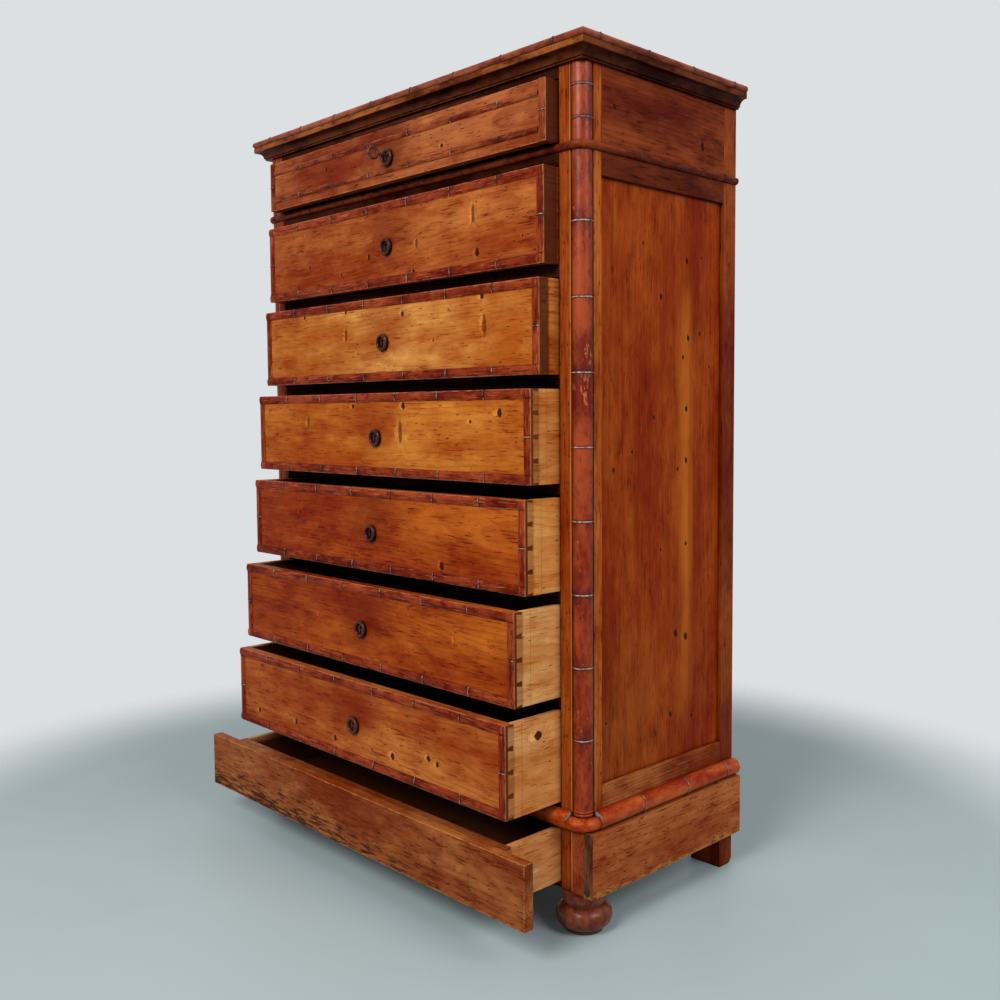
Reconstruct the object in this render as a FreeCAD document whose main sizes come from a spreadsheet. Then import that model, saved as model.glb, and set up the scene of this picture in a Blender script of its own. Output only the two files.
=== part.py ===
import FreeCAD, Part
import math
import os
import re
import Sketcher

# A semainier: a tall pine chest of eight drawers, trimmed with turned and half-round
# mouldings cut to look like bamboo. Millimetres, +Z up, the front faces -Y.
# The origin lies on the floor, midway between the left and right ends, and midway
# between the back and the face of the plinth drawer as it stands open.
# The case is built about its own front plane (y = 0 on the faces of the front posts),
# and each drawer about its own bay: x = 0 at its middle, y = 0 on the front plane when
# it is shut, z = 0 on the underside of its sides.

SIZES = {
    # the carcass, from the floor up
    "case_width": 960, "case_depth": 432,
    "foot_height": 68.5, "plinth_height": 112.5, "deck_height": 41,
    "drawer_height": 160, "drawer_gap": 4, "rail_thickness": 20, "frieze_rail_height": 35.5,
    "top_drawer_height": 101.5, "top_rail_height": 46.5, "top_thickness": 13.5,
    # posts and frames
    "post_width": 53, "post_depth": 47, "rebate": 27,
    "rear_post_width": 69, "rear_post_depth": 39, "rear_foot_round": 14,
    "rail_depth": 60, "sill_height": 13.5,
    "frame_thickness": 22, "bottom_rail_height": 101, "bottom_rail_rise": 71,
    "top_side_rail_height": 45.4,
    "panel_thickness": 8, "panel_recess": 8, "panel_tongue": 6, "fit_gap": 0.25,
    "back_thickness": 10, "back_rail_thickness": 21, "back_rail_height": 72,
    "runner_width": 58, "guide_height": 18,
    # turned columns and bamboo rings
    "column_radius": 19, "column_inset": 18.5, "ring_pitch": 124.75, "upper_ring_pitch": 53.7,
    "ring_radius": 1.6, "collar_radius": 3.2, "cap_collar_radius": 2.2,
    # half-round mouldings
    "string_radius": 7, "string_drop": 8.6, "string_elbow_radius": 8,
    "base_mould_height": 31, "base_mould_reach": 20, "base_elbow_height": 23,
    # cornice
    "overhang": 26.5, "cornice_height": 27, "cornice_fillet": 10.5, "cornice_lip": 3.5,
    "cornice_lip_reach": 6, "cornice_step": 2.5, "mitre_margin": 10,
    # plinth and feet
    "plinth_board": 20, "foot_inset_x": 25, "foot_inset_y": 27,
    "foot_disc_radius": 39, "foot_disc_height": 14, "foot_neck_radius": 35,
    "foot_bun_radius": 49.5, "foot_bun_height": 42, "foot_ring_radius": 33, "foot_ring_height": 6,
    # drawer boards
    "side_gap": 1, "stop_gap": 0.5, "front_thickness": 20, "band_relief": 3, "lap": 5,
    "side_thickness": 12, "tail_pin": 10, "tail_pin_tip": 6,
    "bottom_thickness": 8, "bottom_rise": 8, "bottom_groove": 4,
    "drawer_back_thickness": 10, "drawer_back_drop": 12, "drawer_back_inset": 2,
    # plinth drawer
    "apron_thickness": 20, "apron_drop": 13, "apron_height": 110, "apron_margin": 0.5,
    # applied bamboo bands
    "band_width": 17, "top_band_width": 11, "top_band_inset": 16,
    "band_crown": 2.2, "band_ridge": 0.8, "band_ridge_width": 2.4,
    # locks
    "key_drop": 2.5, "keyhole_radius": 3.3, "keyhole_slot_width": 3.6, "keyhole_slot_drop": 12.5,
    "escutcheon_radius": 16.5, "escutcheon_rim": 3.2, "escutcheon_stand": 8, "escutcheon_drop": 3.5,
    "lock_width": 64, "lock_thickness": 14, "lock_wall": 2, "lock_below": 17, "lock_above": 36,
    "lock_flange": 10, "screw_radius": 1.7, "screw_head_radius": 3.2, "screw_head_height": 1.6,
    "screw_bite": 12,
    "bolt_width": 16, "bolt_thickness": 5, "bolt_foot_width": 36, "bolt_foot_height": 8,
    "bolt_rise": 12.3, "bolt_set_back": 1, "bolt_top_gap": 1, "bolt_slack": 0.4,
    "mortise_depth": 10, "mortise_slack": 0.7,
    "staple_width": 40, "staple_depth": 9, "staple_height": 12, "staple_drop": 10,
    # key
    "key_shank_radius": 2.9, "bow_radius": 10.2, "bow_bar_radius": 2.8, "bow_reach": 34,
    "bit_radius": 11.5, "bit_width": 3, "bit_depth": 7, "bit_set_back": 2.5,
    # how far each drawer stands open
    "open_1": 32.7, "open_2": 38, "open_3": 49.8, "open_4": 70.8,
    "open_5": 85.1, "open_6": 111.7, "open_7": 133, "open_8": 141.2,
}
PLINTH_DRAWER = 8
LOCKED_DRAWERS = range(1, PLINTH_DRAWER)
TOUCHING = 0.01

doc = FreeCAD.newDocument("semainier")
sheet = doc.addObject("Spreadsheet::Sheet", "Sizes")
for row, (alias, value) in enumerate(SIZES.items(), start=1):
    sheet.set("A%d" % row, alias)
    sheet.set("B%d" % row, str(value))
    sheet.setAlias("B%d" % row, alias)

# Directions for pieces that do not stand upright: local x, y and z in the case's axes.
X = FreeCAD.Vector(1, 0, 0)
Y = FreeCAD.Vector(0, 1, 0)
Z = FreeCAD.Vector(0, 0, 1)
UPRIGHT = FreeCAD.Rotation()
ALONG_FRONT = FreeCAD.Rotation(Z, -Y, X, "XYZ")
ALONG_SIDE = FreeCAD.Rotation(Z, X, Y, "XYZ")
UP_BAND = FreeCAD.Rotation(X, -Y, -Z, "XYZ")
INTO_CASE = FreeCAD.Rotation(X, -Z, Y, "XYZ")
CROSSWISE = FreeCAD.Rotation(Y, Z, X, "XYZ")
CORNER = FreeCAD.Rotation(-Y, X, Z, "XYZ")
CORNICE_FRONT = FreeCAD.Rotation(-Y, Z, -X, "XYZ")
CORNICE_SIDE = FreeCAD.Rotation(X, Z, -Y, "XYZ")

# Heights and widths that several pieces share, as formulas of the sheet's sizes.
HALF = "(case_width / 2)"
OPENING = "(case_width / 2 - post_width)"
REBATE_X = "(case_width / 2 - rebate)"
PLINTH_TOP = "(foot_height + plinth_height)"
BAY_HEIGHT = "(drawer_height + drawer_gap)"
COLUMN_X = "(case_width / 2 - column_inset)"
BASE_NOSE = "(base_mould_height / 2)"
BASE_STAND = "(base_mould_reach - base_mould_height / 2)"
BASE_MIDDLE = "(" + PLINTH_TOP + " + base_mould_height / 2)"
BASE_ELBOW_NOSE = "(base_elbow_height / 2)"
BASE_ELBOW_MIDDLE = "(" + PLINTH_TOP + " + base_elbow_height / 2)"
DRAWER_HALF = "(case_width / 2 - post_width - side_gap)"
DRAWER_DEPTH = "(case_depth - rear_post_depth - stop_gap)"
FRONT_SHIFT = "((open_8 + apron_thickness - case_depth) / 2)"


def floor_of(number):
    """The height of a drawer's bay floor."""
    if number == PLINTH_DRAWER:
        return "(foot_height + sill_height)"
    if number == 1:
        return "(" + floor_of(2) + " + " + BAY_HEIGHT + " + frieze_rail_height)"
    rises = PLINTH_DRAWER - 1 - number
    return "(%s + deck_height + %d * (%s + rail_thickness))" % (PLINTH_TOP, rises, BAY_HEIGHT)


def height_of(number):
    """The height of a drawer's sides."""
    if number == PLINTH_DRAWER:
        return "(plinth_height - sill_height - drawer_gap)"
    return "top_drawer_height" if number == 1 else "drawer_height"


BOARD_BOTTOM = "(" + floor_of(1) + " + top_drawer_height + drawer_gap + top_rail_height)"
CORNICE_BOTTOM = "(" + BOARD_BOTTOM + " - cornice_height)"
STRING_MIDDLE = "(" + floor_of(1) + " - string_drop)"
LOWER_COLUMN_BASE = "(" + PLINTH_TOP + " + base_elbow_height)"
LOWER_COLUMN_TOP = "(" + STRING_MIDDLE + " - string_elbow_radius)"
UPPER_COLUMN_BASE = "(" + STRING_MIDDLE + " + string_elbow_radius)"
RINGS_FROM = "(" + PLINTH_TOP + " + base_mould_height)"

WORDS = re.compile(r"[a-z][a-z_0-9]*")
nodes = {}


def formula(text):
    """Point each size named in a formula at its cell of the sheet."""
    return WORDS.sub(lambda word: "Sizes." + word.group(0), str(text))


def value_of(text):
    """A formula's number, for what is counted rather than measured."""
    sheet.set("D1", "=" + text)
    sheet.recompute()
    value = float(sheet.get("D1"))
    sheet.clear("D1")
    return value


def bind(piece, path, text):
    piece.setExpression(path, formula(text))


def place(piece, at, turn=UPRIGHT):
    piece.Placement = FreeCAD.Placement(FreeCAD.Vector(), turn)
    for axis, text in zip("xyz", at):
        bind(piece, "Placement.Base." + axis, text)
    return piece


def box(name, low, size, turn=UPRIGHT):
    piece = doc.addObject("Part::Box", name)
    for side, text in zip(("Length", "Width", "Height"), size):
        bind(piece, side, text)
    return place(piece, low, turn)


def cylinder(name, radius, length, at, turn=UPRIGHT, angle=360):
    piece = doc.addObject("Part::Cylinder", name)
    bind(piece, "Radius", radius)
    bind(piece, "Height", length)
    piece.Angle = angle
    return place(piece, at, turn)


def torus(name, ring_radius, bar_radius, at, turn=UPRIGHT, angle=360):
    piece = doc.addObject("Part::Torus", name)
    bind(piece, "Radius1", ring_radius)
    bind(piece, "Radius2", bar_radius)
    piece.Angle3 = angle
    return place(piece, at, turn)


def fuse(name, parts):
    piece = doc.addObject("Part::MultiFuse", name)
    piece.Shapes = parts
    piece.Refine = True
    return piece


def cut(name, base, tool):
    piece = doc.addObject("Part::Cut", name)
    piece.Base = base
    piece.Tool = tool
    return piece


def common(name, first, second):
    piece = doc.addObject("Part::MultiCommon", name)
    piece.Shapes = [first, second]
    return piece


def group(name, parts):
    piece = doc.addObject("Part::Compound", name)
    piece.Links = parts
    return piece


def mirror(name, source):
    """The left-hand twin of a right-hand piece."""
    piece = doc.addObject("Part::Mirroring", name)
    piece.Source = source
    piece.Base = FreeCAD.Vector()
    piece.Normal = X
    return piece


def pair(name, right):
    return [right, mirror(name + "_left", right)]


def node(name, parts, drawer=None):
    """A finished sub-part: its solids, moved from the case's or drawer's own frame to their place."""
    piece = group(name, parts)
    if drawer is None:
        at = (0, FRONT_SHIFT, 0)
    else:
        at = (0, "%s - open_%d" % (FRONT_SHIFT, drawer), floor_of(drawer))
    nodes[name] = place(piece, at)


# ---------------------------------------------------------------- turned and run mouldings

def half_round(name, nose, stand, start, length, turn, rings):
    """A length of half-round on its flat stand, with a bamboo ring at each place in rings.

    start is the end of the line down the middle of its seat. The rings end flush with the
    moulding's top and bottom edges.
    """
    x, y, z = start
    seat = (x, y, "%s - %s" % (z, nose))
    front = turn == ALONG_FRONT
    centre = (x, "%s - %s" % (y, stand), z) if front else ("%s + %s" % (x, stand), y, z)
    parts = [cylinder(name + "_nose", nose, length, centre, turn, 180)]
    if stand != "0":
        parts.append(box(name + "_stand", seat, ("2 * " + nose, stand, length), turn))
    for count, along in enumerate(rings):
        at = list(centre)
        at[0 if front else 1] = along
        parts.append(torus("%s_ring_%d" % (name, count), "%s - ring_radius / 3" % nose,
                           "ring_radius", at, turn, 180))
    rounds = fuse(name + "_rounds", parts) if len(parts) > 1 else parts[0]
    reach = "%s + %s + ring_radius" % (stand, nose)
    return common(name, rounds, box(name + "_limit", seat, ("2 * " + nose, reach, length), turn))


def rings_each_way(reach):
    """Ring places along the front: a bay on the middle line, and the next ones each way."""
    steps = int(value_of(reach) / value_of("ring_pitch") + 0.5)
    odd = [2 * step + 1 for step in range(steps)]
    return ["%d * ring_pitch / 2" % (sign * n) for n in odd for sign in (1, -1)]


def rings_backwards(first, end):
    """Ring places along a side, from the first towards the back."""
    steps = int((value_of(end) - value_of(first)) / value_of("ring_pitch"))
    return ["%s + %d * ring_pitch" % (first, step) for step in range(1, steps + 1)]


def elbow(name, nose, stand, middle):
    """A moulding's turn round a corner column, seated in the post's rebate."""
    bottom = "%s - %s" % (middle, nose)
    high = "2 * " + nose
    sweep = "(column_inset + %s)" % stand
    straight = "rebate - column_inset"
    axis = (COLUMN_X, "column_inset")
    front_seat = (REBATE_X, "-" + stand, middle)
    side_seat = ("%s + %s" % (HALF, stand), "column_inset", middle)
    parts = [
        cylinder(name + "_core", sweep, high, axis + (bottom,), CORNER, 90),
        torus(name + "_turn", sweep, nose, axis + (middle,), CORNER, 90),
        box(name + "_inner", (REBATE_X, "-" + stand, bottom), (straight, "rebate + " + stand, high)),
        box(name + "_rear", (COLUMN_X, "column_inset", bottom), (sweep, straight, high)),
        cylinder(name + "_front_nose", nose, straight, front_seat, ALONG_FRONT, 180),
        cylinder(name + "_side_nose", nose, straight, side_seat, ALONG_SIDE, 180),
    ]
    return fuse(name, parts)


def run_round_case(name, nose, stand, middle, elbow_nose, elbow_middle):
    """A half-round carried along the front and both sides, turning round the columns.

    Its outermost front rings stay a quarter of the pitch clear of the elbows.
    """
    front = half_round(name + "_front", nose, stand, ("-" + REBATE_X, "0", middle),
                       "2 * " + REBATE_X, ALONG_FRONT, rings_each_way(REBATE_X + " - ring_pitch / 4"))
    side = half_round(name + "_side", nose, stand, (HALF, "rebate", middle),
                      "case_depth - rebate", ALONG_SIDE, rings_backwards("column_inset", "case_depth"))
    corner = elbow(name + "_elbow", elbow_nose, stand, elbow_middle)
    node(name, [front] + pair(name + "_side", side) + pair(name + "_elbow", corner))


run_round_case("string_moulding", "string_radius", "0", STRING_MIDDLE, "string_elbow_radius", STRING_MIDDLE)
run_round_case("base_moulding", BASE_NOSE, BASE_STAND, BASE_MIDDLE, BASE_ELBOW_NOSE, BASE_ELBOW_MIDDLE)


# ---------------------------------------------------------------- cornice and top

def fix_point(sketch, line, end, point, across, up):
    """Tie one point of a sketch to the sketch's axes."""
    for kind, axis, now, text in (("DistanceX", -2, point.x, across), ("DistanceY", -1, point.y, up)):
        if text == "0":
            sketch.addConstraint(Sketcher.Constraint("PointOnObject", line, end, axis))
        else:
            index = sketch.addConstraint(Sketcher.Constraint(kind, -1, 1, line, end, now))
            sketch.setExpression("Constraints[%d]" % index, formula(text))


def cornice_length(name, length, at, turn, middled):
    """A length of cornice: lip, cove and fillet, run along local z. Local x stands out."""
    body = doc.addObject("PartDesign::Body", name)
    sketch = body.newObject("Sketcher::SketchObject", name + "_profile")
    plane = [part for part in body.Origin.OriginFeatures if part.Role == "XY_Plane"][0]
    sketch.AttachmentSupport = (plane, [""])
    sketch.MapMode = "FlatFace"
    cove_top = "cornice_height - cornice_fillet"
    cove = "(%s - cornice_lip)" % cove_top
    face = "overhang - cornice_step"
    cove_out = "overhang - 2 * cornice_step"
    cove_foot = ("%s - %s" % (cove_out, cove), "cornice_lip")
    corners = [
        ("0", "0"),
        ("cornice_lip_reach", "0"),
        ("cornice_lip_reach", "cornice_lip"),
        cove_foot,
        (cove_out, cove_top),
        (face, cove_top),
        (face, "cornice_height"),
        ("0", "cornice_height"),
    ]
    cove_from = corners.index(cove_foot)
    points = [FreeCAD.Vector(value_of(across), value_of(up), 0) for across, up in corners]
    for index, point in enumerate(points):
        following = points[(index + 1) % len(points)]
        if index == cove_from:
            circle = Part.Circle(FreeCAD.Vector(following.x, point.y, 0), Z, following.y - point.y)
            sketch.addGeometry(Part.ArcOfCircle(circle, math.pi / 2, math.pi))
        else:
            sketch.addGeometry(Part.LineSegment(point, following))
    for index, point in enumerate(points):
        start, end = (2, 1) if index == cove_from else (1, 2)
        after = (index + 1) % len(points)
        after_start = 2 if after == cove_from else 1
        sketch.addConstraint(Sketcher.Constraint("Coincident", index, end, after, after_start))
        if index:
            fix_point(sketch, index, start, point, *corners[index])
        else:
            sketch.addConstraint(Sketcher.Constraint("Coincident", index, start, -1, 1))
    radius = sketch.addConstraint(Sketcher.Constraint("Radius", cove_from, value_of(cove)))
    sketch.setExpression("Constraints[%d]" % radius, formula(cove))
    pad = body.newObject("PartDesign::Pad", name + "_run")
    pad.Profile = sketch
    bind(pad, "Length", length)
    pad.Midplane = middled
    return place(body, at, turn)


def mitre_region():
    """The wedge of space that belongs to the front lengths of the cornice and the top bead."""
    region = doc.addObject("Part::Wedge", "mitre_region")
    wide = "%s + overhang + mitre_margin" % HALF
    low = CORNICE_BOTTOM
    high = "%s + top_thickness + mitre_margin" % BOARD_BOTTOM
    limits = {
        "Xmin": "-(" + wide + ")", "Xmax": wide, "X2min": "-" + HALF, "X2max": HALF,
        "Ymin": "-(overhang + mitre_margin)", "Ymax": "0",
        "Zmin": low, "Zmax": high, "Z2min": low, "Z2max": high,
    }
    for limit, text in limits.items():
        bind(region, limit, text)
    return region


def mitred(name, front, side, region):
    """Three lengths that meet in mitres at the front corners."""
    front_length = common(name + "_front_mitred", front, region)
    side_length = cut(name + "_side_mitred", side, region)
    node(name, [front_length] + pair(name + "_side", side_length))


MITRES = mitre_region()
mitred("cornice",
       cornice_length("cornice_front", "case_width + 2 * overhang", ("0", "0", CORNICE_BOTTOM),
                      CORNICE_FRONT, True),
       cornice_length("cornice_side", "case_depth + overhang", (HALF, "case_depth", CORNICE_BOTTOM),
                      CORNICE_SIDE, False),
       MITRES)

BEAD = "(top_thickness / 2)"
BEAD_MIDDLE = "(" + BOARD_BOTTOM + " + top_thickness / 2)"
BOARD_REACH = "(overhang - top_thickness / 2)"
WIDE_HALF = "(case_width / 2 + overhang)"
mitred("top_bead",
       half_round("top_bead_front", BEAD, "0", ("-" + WIDE_HALF, "-" + BOARD_REACH, BEAD_MIDDLE),
                  "2 * " + WIDE_HALF, ALONG_FRONT, rings_each_way(HALF)),
       half_round("top_bead_side", BEAD, "0", (HALF + " + " + BOARD_REACH, "-overhang", BEAD_MIDDLE),
                  "case_depth + overhang", ALONG_SIDE,
                  ["column_inset"] + rings_backwards("column_inset", "case_depth")),
       MITRES)
node("top_board", [box("top_board_plank",
                       ("-(%s + %s)" % (HALF, BOARD_REACH), "-" + BOARD_REACH, BOARD_BOTTOM),
                       ("2 * (%s + %s)" % (HALF, BOARD_REACH), "case_depth + " + BOARD_REACH,
                        "top_thickness"))])


# ---------------------------------------------------------------- corner columns

def column(name, base, top, ring_heights, collars):
    """A turned column engaged in the corner rebate: its back is planed square to seat there."""
    axis = (COLUMN_X, "column_inset")
    parts = [cylinder(name + "_shaft", "column_radius", "%s - %s" % (top, base), axis + (base,))]
    for count, height in enumerate(ring_heights):
        parts.append(torus("%s_ring_%d" % (name, count), "column_radius - ring_radius / 3",
                           "ring_radius", axis + (height,)))
    for count, (bar, height) in enumerate(collars):
        parts.append(torus("%s_collar_%d" % (name, count), "column_radius - %s / 2" % bar, bar,
                           axis + (height,)))
    turned = fuse(name + "_turned", parts)
    reach = "rebate + column_radius"
    seat = box(name + "_seat", (REBATE_X, "-column_radius", base), (reach, reach, "%s - %s" % (top, base)))
    return common(name, turned, seat)


lower_rings = int(value_of("%s - %s" % (LOWER_COLUMN_TOP, RINGS_FROM)) / value_of("ring_pitch"))
lower_column = column(
    "lower_column", LOWER_COLUMN_BASE, LOWER_COLUMN_TOP,
    ["%s + %d * ring_pitch" % (RINGS_FROM, count) for count in range(1, lower_rings + 1)],
    [("collar_radius", LOWER_COLUMN_BASE + " + collar_radius"),
     ("cap_collar_radius", LOWER_COLUMN_BASE + " + 2 * collar_radius + cap_collar_radius")])
UPPER_MIDDLE = "(%s + %s) / 2" % (UPPER_COLUMN_BASE, CORNICE_BOTTOM)
upper_column = column(
    "upper_column", UPPER_COLUMN_BASE, CORNICE_BOTTOM,
    [UPPER_MIDDLE + " - upper_ring_pitch / 2", UPPER_MIDDLE + " + upper_ring_pitch / 2"], [])
node("corner_columns", pair("lower_column", lower_column) + pair("upper_column", upper_column))


# ---------------------------------------------------------------- posts, side frames and back

PANEL_X = "(case_width / 2 - panel_recess - panel_thickness)"
PANEL_FLOOR = "(%s + bottom_rail_rise)" % PLINTH_TOP
PANEL_TOP = "(%s - top_side_rail_height)" % STRING_MIDDLE
REAR_POST_Y = "(case_depth - rear_post_depth)"
STILE_GAP = "(%s - post_depth)" % REAR_POST_Y


def panel_box(name, slack):
    """A side panel, or with slack the grooves that it sits in."""
    low = (PANEL_X + " - " + slack, "post_depth - panel_tongue - " + slack,
           PANEL_FLOOR + " - panel_tongue - " + slack)
    size = ("panel_thickness + 2 * " + slack, STILE_GAP + " + 2 * (panel_tongue + %s)" % slack,
            "%s - %s + 2 * (panel_tongue + %s)" % (PANEL_TOP, PANEL_FLOOR, slack))
    return box(name, low, size)


grooves = panel_box("panel_grooves", "fit_gap")
node("side_panels", pair("side_panel", panel_box("side_panel", "0")))

post_board = box("front_post_board", (OPENING, "0", "foot_height"),
                 ("post_width", "post_depth", BOARD_BOTTOM + " - foot_height"))
post_rebate = box("front_post_rebate", (REBATE_X, "0", "foot_height"),
                  ("rebate", "rebate", CORNICE_BOTTOM + " - foot_height"))
front_post = cut("front_post", cut("front_post_rebated", post_board, post_rebate), grooves)
node("front_posts", pair("front_post", front_post))


def rear_post():
    """A rear post that runs down to the floor as a foot, eased at its back lower edge."""
    body = doc.addObject("PartDesign::Body", "rear_post_body")
    stock = body.newObject("PartDesign::AdditiveBox", "rear_post_stock")
    bind(stock, "Length", "rear_post_width")
    bind(stock, "Width", "rear_post_depth")
    bind(stock, "Height", BOARD_BOTTOM)
    doc.recompute()
    back_edges = []
    for count, edge in enumerate(stock.Shape.Edges, start=1):
        limits = edge.BoundBox
        if limits.YMin > stock.Width.Value - TOUCHING and limits.ZMax < TOUCHING:
            back_edges.append("Edge%d" % count)
    easing = body.newObject("PartDesign::Fillet", "rear_post_easing")
    easing.Base = (stock, back_edges)
    bind(easing, "Radius", "rear_foot_round")
    return place(body, (HALF + " - rear_post_width", REAR_POST_Y, "0"))


node("rear_posts", pair("rear_post", cut("rear_post", rear_post(), grooves)))


def side_rail(name, bottom, height):
    low = (HALF + " - frame_thickness", "post_depth", bottom)
    return box(name, low, ("frame_thickness", STILE_GAP, height))


bottom_side_rail = cut("bottom_side_rail",
                       side_rail("bottom_side_board", PANEL_FLOOR + " - bottom_rail_height",
                                 "bottom_rail_height"), grooves)
top_side_rail = cut("top_side_rail",
                    side_rail("top_side_board", PANEL_TOP, "top_side_rail_height"), grooves)
frieze_board = side_rail("frieze_board", STRING_MIDDLE, "%s - %s" % (BOARD_BOTTOM, STRING_MIDDLE))
node("side_rails", pair("bottom_side_rail", bottom_side_rail) + pair("top_side_rail", top_side_rail)
     + pair("frieze_board", frieze_board))

BACK_HALF = "(case_width / 2 - rear_post_width)"
BACK_LOW = "(%s - bottom_rail_height)" % PANEL_FLOOR
BACK_BOARDS = 4
back_parts = []
for count, bottom in enumerate((BACK_LOW, "(%s + %s - back_rail_height) / 2" % (BACK_LOW, BOARD_BOTTOM),
                                "%s - back_rail_height" % BOARD_BOTTOM)):
    back_parts.append(box("back_rail_%d" % count, ("-" + BACK_HALF, REAR_POST_Y, bottom),
                          ("2 * " + BACK_HALF, "back_rail_thickness", "back_rail_height")))
for count in range(BACK_BOARDS):
    width = "(2 * %s / %d)" % (BACK_HALF, BACK_BOARDS)
    back_parts.append(box("back_board_%d" % count,
                          ("%d * %s - %s" % (count, width, BACK_HALF),
                           REAR_POST_Y + " + back_rail_thickness", BACK_LOW),
                          (width, "back_thickness", "%s - %s" % (BOARD_BOTTOM, BACK_LOW))))
node("back_boards", back_parts)


# ---------------------------------------------------------------- rails and runners

def front_rail(name, bottom, height, mortised):
    """A rail between the front posts. Its underside is mortised for the bolt of the lock below."""
    rail = box(name + "_board", ("-" + OPENING, "0", bottom), ("2 * " + OPENING, "rail_depth", height))
    if not mortised:
        return rail
    mortise = box(name + "_mortise",
                  ("-bolt_width / 2 - mortise_slack", "front_thickness + bolt_set_back - mortise_slack",
                   bottom),
                  ("bolt_width + 2 * mortise_slack", "bolt_thickness + 2 * mortise_slack",
                   "mortise_depth"))
    return cut(name, rail, mortise)


rails = [
    front_rail("sill_rail", "foot_height", "sill_height", False),
    front_rail("deck_rail", PLINTH_TOP, "deck_height", False),
    front_rail("frieze_rail", floor_of(1) + " - frieze_rail_height", "frieze_rail_height", True),
    front_rail("top_rail", BOARD_BOTTOM + " - top_rail_height", "top_rail_height", True),
]
for number in range(2, 7):
    rails.append(front_rail("rail_under_%d" % number, floor_of(number) + " - rail_thickness",
                            "rail_thickness", True))
node("front_rails", rails)

runners = []
for number in range(1, PLINTH_DRAWER + 1):
    lowest = number == PLINTH_DRAWER
    outer = HALF if lowest else "(%s - frame_thickness)" % HALF
    thick = "sill_height" if lowest else "rail_thickness"
    inner = "(%s - frame_thickness - runner_width)" % HALF
    run = REAR_POST_Y + " - rail_depth"
    runner = box("runner_%d" % number, (inner, "rail_depth", "%s - %s" % (floor_of(number), thick)),
                 ("%s - %s" % (outer, inner), run, thick))
    guide = box("guide_%d" % number, (OPENING, "post_depth", floor_of(number)),
                ("%s - %s" % (outer, OPENING), STILE_GAP, "guide_height"))
    runners += pair("runner_%d" % number, runner) + pair("guide_%d" % number, guide)
node("drawer_runners", runners)

# ---------------------------------------------------------------- plinth and feet

plinth_side = box("plinth_side", (HALF, "0", "foot_height"),
                  ("plinth_board", "case_depth", "plinth_height"))
corner_block = box("corner_block", (REBATE_X, "0", "foot_height"), ("rebate", "rebate", "plinth_height"))
node("plinth_boards", pair("plinth_side", plinth_side) + pair("corner_block", corner_block))


def bun_foot():
    """A turned foot: base ring, flattened bun, neck and top disc."""
    axis = (HALF + " - foot_inset_x", "foot_inset_y")
    half_bun = "(foot_bun_height / 2)"
    core = "(foot_bun_radius - foot_bun_height / 2)"
    bun_base = "foot_ring_height"
    neck_base = "foot_ring_height + foot_bun_height"
    return fuse("bun_foot", [
        cylinder("foot_ring", "foot_ring_radius", "foot_ring_height", axis + ("0",)),
        cylinder("foot_core", core, "foot_bun_height", axis + (bun_base,)),
        torus("foot_bun", core, half_bun, axis + (bun_base + " + " + half_bun,)),
        cylinder("foot_neck", "foot_neck_radius", "foot_height - (%s)" % neck_base,
                 axis + (neck_base,)),
        cylinder("foot_disc", "foot_disc_radius", "foot_disc_height",
                 axis + ("foot_height - foot_disc_height",)),
    ])


node("bun_feet", pair("bun_foot", bun_foot()))


# ---------------------------------------------------------------- drawers

def tails(name, height, count):
    """The lapped dovetails at the front of a drawer's right-hand side."""
    parts = []
    for place_up in range(count):
        tail = doc.addObject("Part::Wedge", "%s_tail_%d" % (name, place_up))
        pitch = "(%s / %d)" % (height, count)
        limits = {
            "Xmin": DRAWER_HALF + " - side_thickness", "Xmax": DRAWER_HALF,
            "X2min": DRAWER_HALF + " - side_thickness", "X2max": DRAWER_HALF,
            "Ymin": "band_relief + lap", "Ymax": "front_thickness",
            "Zmin": "%d * %s + tail_pin_tip / 2" % (place_up, pitch),
            "Zmax": "%d * %s - tail_pin_tip / 2" % (place_up + 1, pitch),
            "Z2min": "%d * %s + tail_pin / 2" % (place_up, pitch),
            "Z2max": "%d * %s - tail_pin / 2" % (place_up + 1, pitch),
        }
        for limit, text in limits.items():
            bind(tail, limit, text)
        parts.append(tail)
    return parts


def bottom_board(name, slack):
    """A drawer's bottom, or with slack the grooves that hold it."""
    reach = "(%s - side_thickness + bottom_groove + %s)" % (DRAWER_HALF, slack)
    near = "(front_thickness - bottom_groove - %s)" % slack
    return box(name, ("-" + reach, near, "bottom_rise - " + slack),
               ("2 * " + reach, "%s - %s" % (DRAWER_DEPTH, near), "bottom_thickness + 2 * " + slack))


def key_height(number):
    """The height of the key's axis, which runs through the top of the keyhole."""
    return "(%s / 2 - key_drop)" % height_of(number)


def keyhole(name, number, near, length):
    """The keyhole: a round hole for the shank over a slot for the bit."""
    hole = cylinder(name + "_round", "keyhole_radius", length, ("0", near, key_height(number)), INTO_CASE)
    slot = box(name + "_slot", ("-keyhole_slot_width / 2", near, key_height(number) + " - keyhole_slot_drop"),
               ("keyhole_slot_width", length, "keyhole_slot_drop"))
    return fuse(name, [hole, slot])


def lock_screws(name, number):
    """Four screws through the lock's flanges into the drawer front, as shanks and heads."""
    screws = []
    for side in (-1, 1):
        for level, height in enumerate(("- lock_below / 2", "+ lock_above * 3 / 4")):
            label = "%s_screw_%d_%d" % (name, side + 1, level)
            at_x = "%d * (lock_width + lock_flange) / 2" % side
            at_z = key_height(number) + height
            shank = cylinder(label + "_shank", "screw_radius", "screw_bite + lock_wall",
                             (at_x, "front_thickness - screw_bite", at_z), INTO_CASE)
            head = cylinder(label + "_head", "screw_head_radius", "screw_head_height",
                            (at_x, "front_thickness + lock_wall", at_z), INTO_CASE)
            screws.append(fuse(label, [shank, head]))
    return screws


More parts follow.
